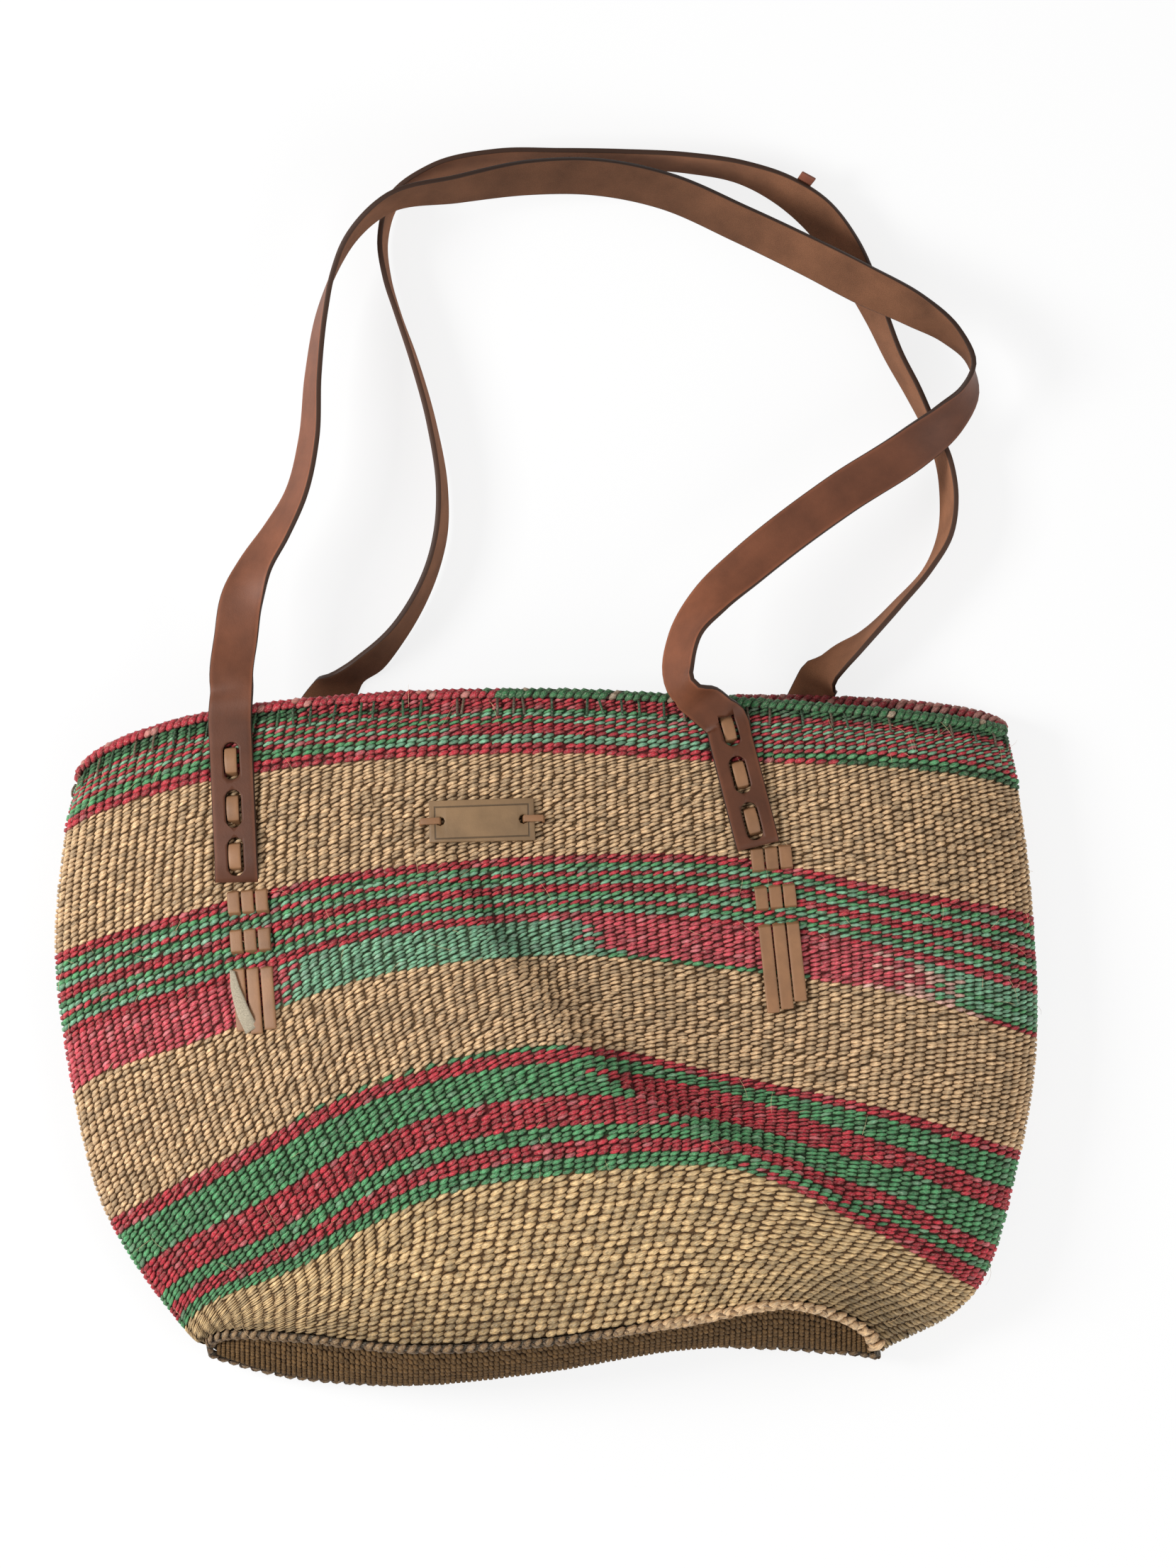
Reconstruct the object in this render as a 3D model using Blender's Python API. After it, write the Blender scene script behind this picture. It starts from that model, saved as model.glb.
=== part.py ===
"""Kiondo basket: a twined sisal bag with two laced leather shoulder straps, lying on its back.

Metres, +Z up out of the front panel, +Y from the base towards the straps, +X to the right.
The origin is under the middle of the whole object, on the surface that it lies on.
"""
import math

import bmesh
import bpy
import numpy as np
from mathutils import Vector
from mathutils.bvhtree import BVHTree

# Driving sizes of the bag
BAG_WIDTH = 0.448
BAG_LENGTH = 0.324
BAG_DEPTH = 0.088
WALL_THICKNESS = 0.004
BASE_THICKNESS = 0.004
BASE_BULGE = 0.013
BASE_RECESS = 0.0030
FOLD_HEIGHT = 0.009
FOLD_NEAR_WIDTH = 0.055
FOLD_FAR_WIDTH = 0.016
RIM_BRAID_RADIUS = 0.0026
BASE_BRAID_RADIUS = 0.0030

# Driving sizes of the straps, their lacing and the label
STRAP_WIDTH = 0.020
STRAP_THICKNESS = 0.0025
STRAP_REACH = 0.2408
TAB_STATION = 0.009
HINGE_BEYOND_RIM = 0.003
FRONT_AXIS_LIFT = 0.056
BACK_AXIS_DROP = 0.003
SLOT_LENGTH = 0.0177
SLOT_WIDTH = 0.0075
SLOT_PITCH = 0.0216
SLOT_TO_TAB_END = 0.0119
THONG_WIDTH = 0.0058
THONG_THICKNESS = 0.0016
THONG_PITCH = 0.0064
THONG_IN_SLOT = 0.0122
THONG_ARCH = 0.0007
THONG_LOOP = 0.0106
THONG_UNDER_WEFT = 0.0069
THONG_STUB = 0.0018
THONG_STATION = 0.007
LANE_CHANGE = 0.0042
LANE_PITCH = 0.0072
LABEL_LENGTH = 0.0475
LABEL_HEIGHT = 0.0195
LABEL_THICKNESS = 0.0018
LABEL_HOLE_RADIUS = 0.0021
LABEL_HOLE_INSET = 0.0050
LABEL_THONG_WIDTH = 0.0030
LABEL_THONG_THICKNESS = 0.0012
LABEL_THONG_SPAN = 0.0090
LABEL_THONG_ARCH = 0.0004
PATCH_LENGTH = 0.014
PATCH_SHOW = 0.004
PATCH_SHARES = (0.15, 0.85)
PATCH_THICKNESS = 0.0016

# Clearances and small working lengths
FIT_GAP = 0.0003
EDGE_FOLD = 0.0055
FOLD_FADE_SHARE = 0.03
SLIT_CLEARANCE = 0.0006
CROSSING_RUN = 0.0012
CUT_OVERRUN = 0.002
PROBE_STEP = 0.001
PROBE_SPAN = 0.004
PROBE_HEIGHT = 0.5
HINGE_BLEND = 0.022
MERGE_DISTANCE = 0.00001

# How finely the bag is faceted
WALL_COLUMNS = 64
WALL_ROWS = 15
BASE_ROWS = 5
BASE_INSET_COLUMNS = 4
LABEL_STATIONS = 6
BRAID_SIDES = 6
STATION_COUNT = 16
HALF_TURN = STATION_COUNT // 2

# Places are read off the photograph in pixels and spread over the real sizes
LEFT_PIXEL = 75
WIDTH_PIXELS = 1390
TOP_PIXEL = 964
LENGTH_PIXELS = 1005
HINGE_PIXEL = 955
REACH_PIXELS = 747

# The weave rows that part the stripe bands, from the rim to the base: each row's two ends and
# its height in the photograph at nine stations across the front
ROW_LEFT_PIXELS = (104, 89, 76, 102, 150, 258, 286)
ROW_RIGHT_PIXELS = (1425, 1440, 1460, 1465, 1442, 1380, 1248)
ROW_PIXELS = (
    (1106, 1061, 1016, 991, 984, 995, 1010, 1026, 1038),
    (1175, 1147, 1103, 1074, 1062, 1074, 1081, 1098, 1115),
    (1347, 1327, 1282, 1229, 1207, 1209, 1253, 1278, 1292),
    (1545, 1510, 1460, 1376, 1345, 1369, 1400, 1447, 1465),
    (1718, 1690, 1615, 1515, 1470, 1517, 1563, 1608, 1625),
    (1878, 1836, 1786, 1688, 1650, 1644, 1725, 1796, 1822),
    (1898, 1878, 1880, 1893, 1883, 1856, 1832, 1862, 1906),
)
# Height of the front at the same places, and of the flat back, as shares of the bag's depth
FRONT_LIFT_SHARES = (
    (0.165, 0.295, 0.420, 0.470, 0.489, 0.480, 0.450, 0.330, 0.175),
    (0.175, 0.330, 0.485, 0.568, 0.580, 0.557, 0.515, 0.365, 0.185),
    (0.185, 0.365, 0.570, 0.682, 0.682, 0.614, 0.570, 0.395, 0.193),
    (0.193, 0.380, 0.648, 0.807, 0.750, 0.591, 0.570, 0.415, 0.205),
    (0.193, 0.370, 0.659, 0.864, 0.864, 0.659, 0.591, 0.420, 0.205),
    (0.185, 0.345, 0.570, 0.800, 0.880, 0.840, 0.690, 0.432, 0.200),
    (0.180, 0.310, 0.460, 0.600, 0.660, 0.640, 0.560, 0.370, 0.190),
)
BACK_LIFT_SHARES = (0.040, 0.040, 0.040, 0.040, 0.042, 0.052, 0.064)
BACK_ROUNDING_SHARES = (0.18, 0.0, 0.0, 0.0, 0.0, 0.0, 0.18)
# How far the back's rows run above the straight line between their ends, and where the last
# row, the back edge of the base, lies from right to left
BACK_RISE_SHARES = (0.070, 0.060, 0.045, 0.030, 0.015, 0.000)
BACK_BASE_PIXELS = (1906, 1899, 1895, 1923, 1945, 1937, 1915)
# The crest of the fold that runs down across the front
CREST_PIXELS = ((600, 1190), (690, 1330), (790, 1450), (870, 1540), (1080, 1640), (1250, 1760))

# Each strap end: side, outer end of the tab, top of its straight run, bend over the rim, hinge,
# lift of the strap at the hinge as a share of its width, tilt and heading there in degrees,
# how far the lacing starts below the tab and sits beside it, its lean and the three tails
STRAP_ENDS = {
    "front_left": {
        "side": 1, "end": (336.5, 1245), "top": (325.5, 1020), "bend": (((326.5, 992), 2), ((327.5, 974), 2)),
        "hinge": 327.5, "lift_share": 2.02, "tilt": 0.0, "heading": 2.0,
        "lace_start": 0.0035, "lace_shift": 0.0046, "lace_lean": 4.5,
        "tails": (0.0285, 0.0300, 0.0285),
    },
    "front_right": {
        "side": 1, "end": (1069, 1194), "top": (1024, 1018), "bend": (((1017, 1007), -22), ((1004, 993), -36), ((988, 978), -42)),
        "hinge": 958, "lift_share": 2.40, "tilt": -33.0, "heading": 0.0,
        "lace_start": 0.0014, "lace_shift": 0.0052, "lace_lean": 6.0,
        "tails": (0.0400, 0.0390, 0.0360),
    },
    "back_left": {
        "side": -1, "end": (352, 1240), "top": (428, 1036), "bend": (((433, 1027), 23), ((439, 1016), 27), ((447, 1003), 32), ((461, 985), 38)),
        "hinge": 491, "lift_share": 0.21, "tilt": -15.0, "heading": 45.0,
        "lace_start": 0.0030, "lace_shift": -0.0020, "lace_lean": -12.0,
        "tails": (0.0300, 0.0320, 0.0310),
    },
    "back_right": {
        "side": -1, "end": (1049, 1240), "top": (1122, 1036), "bend": (((1130, 1014), 22), ((1137, 999), 24), ((1144, 985), 26), ((1151, 971), 28)),
        "hinge": 1160, "lift_share": 0.28, "tilt": 20.0, "heading": 34.0,
        "lace_start": 0.0030, "lace_shift": -0.0020, "lace_lean": -12.0,
        "tails": (0.0330, 0.0310, 0.0320),
    },
}
# Lane that each slot's thong takes below the tab, from the bag's left
THONG_LANES = (-1, 1, 0)

# Middle line of each strap between its two hinges: pixel across, pixel down, lift as a share of
# the strap's width, and turn about its own length in degrees, 90 standing on its edge
FRONT_ROUTE = (
    (334, 900, 1.92, 4), (341, 850, 1.84, 14), (360, 800, 1.76, 42), (391, 750, 1.70, 54),
    (417, 700, 1.64, 62), (436, 620, 1.58, 66), (442, 530, 1.54, 72), (455, 440, 1.52, 80),
    (471, 385, 1.54, 90), (495, 337, 1.60, 98), (548, 288, 1.68, 108), (646, 267, 1.52, 122),
    (750, 250, 1.32, 136), (840, 249, 1.20, 141), (940, 269, 1.14, 141), (1045, 315, 1.16, 143),
    (1146, 364, 1.30, 147), (1219, 402, 1.42, 150), (1290, 437, 1.42, 136), (1342, 472, 1.38, 114),
    (1371, 512, 1.34, 94), (1368, 552, 1.32, 66), (1338, 592, 1.32, 38), (1290, 631, 1.34, 14),
    (1188, 697, 1.42, 8), (1055, 798, 1.70, 12), (1002, 846, 1.92, 20), (967, 900, 2.20, 32),
)
BACK_ROUTE = (
    (526, 930, 0.30, 158), (554, 900, 0.40, 138), (586, 852, 0.50, 112), (609, 800, 0.54, 103),
    (621, 750, 0.54, 102), (623, 690, 0.54, 99), (609, 600, 0.53, 96), (581, 500, 0.53, 94),
    (560, 440, 0.53, 92), (545, 390, 0.53, 94), (539, 335, 0.53, 97), (556, 278, 0.53, 101),
    (610, 241, 0.53, 106), (700, 222, 0.53, 110), (790, 221, 0.53, 110), (880, 222, 0.53, 109),
    (970, 227, 0.53, 110), (1050, 241, 0.52, 115), (1110, 267, 0.48, 130), (1153, 299, 0.42, 142),
    (1190, 346, 0.42, 140), (1220, 402, 0.46, 128), (1240, 447, 0.50, 116), (1263, 500, 0.53, 109),
    (1290, 550, 0.53, 106), (1313, 598, 0.53, 102), (1334, 650, 0.53, 106), (1341, 702, 0.53, 108),
    (1336, 752, 0.53, 104), (1313, 800, 0.53, 95), (1270, 850, 0.53, 97), (1221, 900, 0.52, 110),
    (1184, 930, 0.44, 132),
)
PATCH_PIXEL = (1128, 282)
LABEL_PIXEL = (681, 1158.5)
LABEL_TURN = -2.0

COLOURS = {
    "sisal": (0.42, 0.31, 0.20),
    "rim": (0.24, 0.05, 0.06),
    "base": (0.14, 0.09, 0.05),
    "leather": (0.19, 0.08, 0.04),
    "thong": (0.28, 0.14, 0.07),
    "label": (0.30, 0.20, 0.11),
}


def clear_scene():
    """Start from an empty file."""
    for old in list(bpy.data.objects):
        bpy.data.objects.remove(old, do_unlink=True)


def material(name):
    """One plain finish for each of the object's materials, made once."""
    found = bpy.data.materials.get(name)
    if found:
        return found
    made = bpy.data.materials.new(name)
    made.use_nodes = True
    shader = made.node_tree.nodes["Principled BSDF"]
    shader.inputs["Base Color"].default_value = (*COLOURS[name], 1)
    shader.inputs["Roughness"].default_value = 0.75
    return made


def add_piece(name, points, faces, finish):
    """Make one closed piece from its corner points and faces, with its faces turned outwards."""
    mesh = bpy.data.meshes.new(name)
    mesh.from_pydata([tuple(p) for p in points], [], faces)
    build = bmesh.new()
    build.from_mesh(mesh)
    bmesh.ops.remove_doubles(build, verts=build.verts, dist=MERGE_DISTANCE)
    bmesh.ops.recalc_face_normals(build, faces=build.faces)
    build.to_mesh(mesh)
    build.free()
    mesh.materials.append(material(finish))
    piece = bpy.data.objects.new(name, mesh)
    bpy.context.collection.objects.link(piece)
    return piece


def cubic_weights(at, count, closed):
    """Weights of a smooth curve through count points, read at the positions in at."""
    at = np.asarray(at, float)
    cell = np.floor(at).astype(int)
    if not closed:
        cell = np.clip(cell, 0, count - 2)
    part = at - cell
    shares = (
        ((2 - part) * part - 1) * part / 2,
        ((3 * part - 5) * part * part + 2) / 2,
        ((4 - 3 * part) * part + 1) * part / 2,
        (part - 1) * part * part / 2,
    )
    weights = np.zeros((len(at), count))
    row = np.arange(len(at))
    for step, share in enumerate(shares):
        index = cell + step - 1
        if closed:
            np.add.at(weights, (row, index % count), share)
            continue
        before = index < 0
        after = index >= count
        inside = ~(before | after)
        np.add.at(weights, (row[inside], index[inside]), share[inside])
        np.add.at(weights, (row[before], 0), 2 * share[before])
        np.add.at(weights, (row[before], 1), -share[before])
        np.add.at(weights, (row[after], count - 1), 2 * share[after])
        np.add.at(weights, (row[after], count - 2), -share[after])
    return weights


def bag_place(pixel):
    """A pixel of the photograph as a place on the bag's plan, from its left edge and its rim."""
    across = BAG_WIDTH * (pixel[0] - LEFT_PIXEL) / WIDTH_PIXELS
    down = BAG_LENGTH * (pixel[1] - TOP_PIXEL) / LENGTH_PIXELS
    return np.array([across, -down])


def strap_place(pixel):
    """A pixel of the photograph as a place on the strap's plan, above the hinge line."""
    across = BAG_WIDTH * (pixel[0] - LEFT_PIXEL) / WIDTH_PIXELS
    up = STRAP_REACH * (HINGE_PIXEL - pixel[1]) / REACH_PIXELS
    return np.array([across, HINGE_BEYOND_RIM + up])


def bag_net():
    """Control points of the bag's outer face: a closed loop of stations for each weave row."""
    net = np.zeros((len(ROW_PIXELS), STATION_COUNT, 3))
    for row, heights in enumerate(ROW_PIXELS):
        left = bag_place((ROW_LEFT_PIXELS[row], heights[0]))
        right = bag_place((ROW_RIGHT_PIXELS[row], heights[-1]))
        edge_lift = BAG_DEPTH * (FRONT_LIFT_SHARES[row][0] + FRONT_LIFT_SHARES[row][-1]) / 2
        back_lift = BAG_DEPTH * BACK_LIFT_SHARES[row]
        for station in range(STATION_COUNT):
            angle = math.pi * station / HALF_TURN
            share = (1 - math.cos(angle)) / 2
            net[row, station, 0] = left[0] + share * (right[0] - left[0])
            if station <= HALF_TURN:
                net[row, station, 1] = bag_place((LEFT_PIXEL, heights[station]))[1]
                net[row, station, 2] = BAG_DEPTH * FRONT_LIFT_SHARES[row][station]
                continue
            behind = station - HALF_TURN - 1
            rounding = BACK_ROUNDING_SHARES[behind]
            net[row, station, 2] = back_lift + rounding * (edge_lift - back_lift)
            if row < len(BACK_RISE_SHARES):
                rise = BAG_LENGTH * BACK_RISE_SHARES[row] * -math.sin(angle)
                net[row, station, 1] = left[1] + share * (right[1] - left[1]) + rise
            else:
                net[row, station, 1] = bag_place((LEFT_PIXEL, BACK_BASE_PIXELS[behind]))[1]
    return net


def crest_lift(places):
    """Height of the fold over each place: a long near slope and a short far one."""
    crest = np.array([bag_place(pixel) for pixel in CREST_PIXELS])
    steps = np.diff(crest, axis=0)
    lengths = np.linalg.norm(steps, axis=1)
    starts = np.concatenate([[0], np.cumsum(lengths)])
    nearest = np.full(len(places), np.inf)
    signed = np.zeros(len(places))
    along = np.zeros(len(places))
    for start, step, length, passed in zip(crest, steps, lengths, starts):
        away = places - start
        share = np.clip(away @ step / length**2, 0, 1)
        offset = away - share[:, None] * step
        distance = np.linalg.norm(offset, axis=1)
        side = np.sign(step[0] * away[:, 1] - step[1] * away[:, 0])
        closer = distance < nearest
        nearest = np.where(closer, distance, nearest)
        signed = np.where(closer, side * distance, signed)
        along = np.where(closer, passed + share * length, along)
    width = np.where(signed < 0, FOLD_NEAR_WIDTH, FOLD_FAR_WIDTH)
    fade = np.sin(math.pi * np.clip(along / starts[-1], 0, 1)) ** 0.5
    return FOLD_HEIGHT * fade * np.exp(-((signed / width) ** 2))


NET = bag_net()


def bag_points(turn, fall):
    """Outer face of the bag: turn runs round it from the left edge over the front, fall runs
    from the rim, 0, to the base, 6."""
    turn = np.asarray(turn, float)
    fall = np.asarray(fall, float)
    round_weights = cubic_weights(turn % STATION_COUNT, STATION_COUNT, True)
    down_weights = cubic_weights(fall, len(NET), False)
    points = np.einsum("ik,kjc,ij->ic", down_weights, NET, round_weights)
    front = np.clip(np.sin(math.pi * turn / HALF_TURN), 0, 1) ** 0.5
    points[:, 2] += front * crest_lift(points[:, :2])
    return points


def bag_frames(turn, fall):
    """Points on the bag's outer face with the outward normal and the way towards the base."""
    nudge_share = 0.02
    turn = np.asarray(turn, float)
    fall = np.asarray(fall, float)
    across = bag_points(turn + nudge_share, fall) - bag_points(turn - nudge_share, fall)
    lower = np.clip(fall + nudge_share, 0, len(NET) - 1)
    upper = np.clip(fall - nudge_share, 0, len(NET) - 1)
    down = bag_points(turn, lower) - bag_points(turn, upper)
    normal = np.cross(down, across)
    normal /= np.linalg.norm(normal, axis=1, keepdims=True)
    down /= np.linalg.norm(down, axis=1, keepdims=True)
    return bag_points(turn, fall), normal, down


def lining_points(turn, fall):
    """Inner face of the bag under the same turn and fall, drawn in from the two folded edges,
    where the wall doubles back on itself."""
    turn = np.asarray(turn, float)
    share = (1 - np.cos(math.pi * turn / HALF_TURN)) / 2
    fade = np.exp(-share / FOLD_FADE_SHARE) - np.exp((share - 1) / FOLD_FADE_SHARE)
    share = share + EDGE_FOLD / BAG_WIDTH * fade
    inner_turn = np.arccos(1 - 2 * share) * HALF_TURN / math.pi
    sides = []
    for mirrored in (inner_turn, STATION_COUNT - inner_turn):
        outer, normal, _ = bag_frames(mirrored, fall)
        sides.append(outer - WALL_THICKNESS * normal)
    front = (turn % HALF_TURN == 0) * 0.5 + (turn % STATION_COUNT < HALF_TURN) * (turn % HALF_TURN > 0)
    return front[:, None] * sides[0] + (1 - front[:, None]) * sides[1]


def grid_faces(rows, columns, start, closed):
    """Four-sided faces over a grid of points; closed joins the last column to the first."""
    faces = []
    for row in range(rows - 1):
        for column in range(columns if closed else columns - 1):
            beside = (column + 1) % columns
            here = start + row * columns
            below = here + columns
            faces.append((here + column, here + beside, below + beside, below + column))
    return faces


def skin(outer, inner, closed):
    """Points and faces of the closed wall between two grids of the same size."""
    rows, columns = outer.shape[:2]
    size = rows * columns
    points = np.concatenate([outer.reshape(size, 3), inner.reshape(size, 3)])
    faces = grid_faces(rows, columns, 0, closed)
    faces += [tuple(reversed(face)) for face in grid_faces(rows, columns, size, closed)]
    border = []
    for row in (0, rows - 1):
        line = [row * columns + column for column in range(columns)]
        border += list(zip(line, line[1:] + line[:1]))[: columns if closed else columns - 1]
    if not closed:
        for column in (0, columns - 1):
            line = [row * columns + column for row in range(rows)]
            border += list(zip(line, line[1:]))
    faces += [(a, b, b + size, a + size) for a, b in border]
    return points, faces


def tube(rings, closed):
    """Points and faces of a bar through rings of points, with flat ends unless it is closed."""
    count, around = rings.shape[:2]
    points = rings.reshape(count * around, 3)
    faces = []
    for ring in range(count if closed else count - 1):
        here = ring * around
        there = (ring + 1) % count * around
        for side in range(around):
            beside = (side + 1) % around
            faces.append((here + side, here + beside, there + beside, there + side))
    if not closed:
        faces.append(tuple(range(around)))
        faces.append(tuple(range((count - 1) * around, count * around)))
    return points, faces


def unit(vectors):
    """The same vectors at length one."""
    return vectors / np.linalg.norm(vectors, axis=-1, keepdims=True)


def band_rings(centres, widths, lifts):
    """Four corners at each station of a flat band from its half width and half thickness."""
    corners = [centres - widths - lifts, centres + widths - lifts]
    corners += [centres + widths + lifts, centres - widths + lifts]
    return np.stack(corners, axis=1)


def band_lifts(centres, widths, thickness):
    """Half thickness of a band at each station, longer in its bends so that it stays even."""
    steps = unit(np.diff(centres, axis=0))
    before = np.concatenate([steps[:1], steps])
    after = np.concatenate([steps, steps[-1:]])
    along = unit(before + after)
    lean = np.einsum("ij,ij->i", along, after)
    lifts = unit(np.cross(unit(widths), along))
    return lifts * thickness / 2 / lean[:, None]


def make_wall():
    """The woven wall: a flattened tube, open at the mouth and at the base."""
    turns = np.arange(WALL_COLUMNS) * STATION_COUNT / WALL_COLUMNS
    falls = np.linspace(0, len(NET) - 1, WALL_ROWS + 1)
    turn, fall = (grid.ravel() for grid in np.meshgrid(turns, falls))
    outer = bag_points(turn, fall)
    inner = lining_points(turn, fall)
    shape = (WALL_ROWS + 1, WALL_COLUMNS, 3)
    points, faces = skin(outer.reshape(shape), inner.reshape(shape), True)
    wall = add_piece("woven_wall", points, faces, "sisal")
    sheet = grid_faces(WALL_ROWS + 1, WALL_COLUMNS, 0, True)
    return wall, outer, inner, sheet


def make_probes(outer, inner, sheet, braid_points, braid_faces):
    """Search trees for seating other pieces, apart for the front, 1, and the back, -1: the wall's
    outer face, its inner face, and the outer face together with the rim braid."""
    moved = [tuple(index + len(outer) for index in face) for face in braid_faces]
    rim = np.concatenate([outer, braid_points])
    probes = {}
    for side in (1, -1):
        def on_side(faces, around):
            places = [(index // around) % WALL_COLUMNS for index in range(len(faces))]
            return [f for f, place in zip(faces, places) if (place < WALL_COLUMNS // 2) == (side > 0)]
        half = on_side(sheet, 1)
        half_rim = half + on_side(moved, BRAID_SIDES)
        probes["outer", side] = BVHTree.FromPolygons([Vector(p) for p in outer], half)
        probes["inner", side] = BVHTree.FromPolygons([Vector(p) for p in inner], half)
        probes["rim", side] = BVHTree.FromPolygons([Vector(p) for p in rim], half_rim)
    return probes


def edge_rings(fall, radius, outset):
    """Rings of a round braid seated on the wall's end, along the rim or the base, its middle
    line the outset beyond the middle of the wall's thickness."""
    turns = np.arange(WALL_COLUMNS) * STATION_COUNT / WALL_COLUMNS
    falls = np.full(WALL_COLUMNS, float(fall))
    outer, _, down = bag_frames(turns, falls)
    inner = lining_points(turns, falls)
    away = down if fall else -down
    normal = unit(outer - inner)
    away = unit(away - normal * np.sum(normal * away, axis=1, keepdims=True))
    middle = (outer + inner) / 2 + normal * outset + away * (radius + 2 * FIT_GAP)
    rings = []
    for side in range(BRAID_SIDES):
        angle = 2 * math.pi * side / BRAID_SIDES
        rings.append(middle + radius * (math.cos(angle) * normal + math.sin(angle) * away))
    return np.stack(rings, axis=1)


def make_base():
    """The woven base: a bulging plate inside the wall's lower end."""
    half = WALL_COLUMNS // 2
    turns = np.arange(WALL_COLUMNS) * STATION_COUNT / WALL_COLUMNS
    falls = np.full(WALL_COLUMNS, len(NET) - 1.0)
    inner = lining_points(turns, falls)
    _, _, down = bag_frames(turns, falls)
    inward = unit(inner - bag_points(turns, falls))
    seat = inner + inward * 2 * FIT_GAP - down * BASE_RECESS
    column = np.arange(BASE_INSET_COLUMNS, half - BASE_INSET_COLUMNS + 1)
    behind = -column % WALL_COLUMNS
    fade = np.sin(math.pi * column / half) ** 1.5
    outward = np.array([0.0, -1.0, 0.0])
    outer_face, inner_face = [], []
    for share in np.linspace(0, 1, BASE_ROWS + 1):
        bulge = BASE_BULGE * 4 * share * (1 - share) * fade
        line = seat[column] + share * (seat[behind] - seat[column]) + bulge[:, None] * outward
        depth = (1 - share) ** 2 * down[column] + share**2 * down[behind]
        depth += 2 * share * (1 - share) * outward
        outer_face.append(line)
        inner_face.append(line - BASE_THICKNESS * unit(depth))
    points, faces = skin(np.array(outer_face), np.array(inner_face), False)
    add_piece("woven_base", points, faces, "base")


def seat_point(probe, place, side):
    """Point and outward normal of a faceted face at a place of the plan, on the front for side 1
    and on the back for side -1; past the rim, level with the nearest place on it."""
    wanted = place
    place = np.array(place, float)

    def height(spot):
        origin = Vector((spot[0], spot[1], side * PROBE_HEIGHT))
        hit = probe.ray_cast(origin, Vector((0, 0, -side)))[0]
        return None if hit is None else hit.z

    level = height(place)
    while level is None:
        place[1] -= PROBE_STEP
        level = height(place)
    slopes = []
    for axis in (0, 1):
        step = np.zeros(2)
        step[axis] = PROBE_SPAN
        found = [(share, height(place + share * step)) for share in (-1, 0, 1)]
        found = [(share, lift) for share, lift in found if lift is not None]
        run = (found[-1][0] - found[0][0]) * PROBE_SPAN
        slopes.append((found[-1][1] - found[0][1]) / run if run else 0.0)
    normal = side * unit(np.array([-slopes[0], -slopes[1], 1.0]))
    return np.array([wanted[0], wanted[1], level]), normal


def seat_band(probes, face, place, across, width, side, gap, reach):
    """Middle of a flat band laid on a face at a place, and the normal there: over the outer face
    for a gap above zero, under the inner one below zero, clear of the crown within the reach."""
    half = across * width / 2
    along = np.array([-across[1], across[0]]) * reach
    probe = probes["outer" if face == "inner" else face, side]
    normal = unit(seat_point(probe, place - half, side)[1] + seat_point(probe, place + half, side)[1])

    def touch(share, step):
        spot, _ = seat_point(probe, place + share * half + step * along, side)
        if face != "inner":
            return spot
        start = Vector(spot + normal * PROBE_SPAN)
        hit = probes["inner", side].ray_cast(start, Vector(-normal))[0]
        return spot - normal * WALL_THICKNESS if hit is None else np.array(hit)

    centre = touch(0, 0)
    sign = math.copysign(1, gap)
    crown = 0.0
    for step in (-1, -0.5, 0, 0.5, 1):
        for share in (-1, -0.5, 0, 0.5, 1):
            crown = max(crown, sign * float(np.dot(touch(share, step) - centre, normal)))
    return centre + normal * (gap + sign * crown), normal


def square_to_hinge(centres, widths, hinge):
    """Lean the sections near the hinge over until the last lies square to Y, as the hinge does."""
    steps = unit(np.diff(centres, axis=0))
    along = unit(np.concatenate([steps[:1], steps]) + np.concatenate([steps, steps[-1:]]))
    distance = np.linalg.norm(centres - hinge, axis=1)
    fade = np.clip(1 - distance / HINGE_BLEND, 0, 1)[:, None]
    return widths - along * widths[:, 1:2] / along[:, 1:2] * fade


def hinge_section(end):
    """Middle, half width and half thickness of the strap where it flexes, square to Y."""
    tilt = math.radians(end["tilt"])
    place = strap_place((end["hinge"], HINGE_PIXEL))
    centre = np.array([place[0], place[1], end["lift_share"] * STRAP_WIDTH])
    stretch = STRAP_WIDTH / 2 / math.cos(math.radians(end["heading"]))
    half_width = stretch * np.array([math.cos(tilt), 0.0, math.sin(tilt)])
    half_lift = STRAP_THICKNESS / 2 * np.array([-math.sin(tilt), 0.0, math.cos(tilt)])
    return centre, half_width, half_lift


def tab_axis(end):
    """Start and direction of a tab's straight run, from its outer end up to the rim."""
    start = bag_place(end["end"])
    run = bag_place(end["top"]) - start
    return start, unit(run), float(np.linalg.norm(run))


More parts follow.
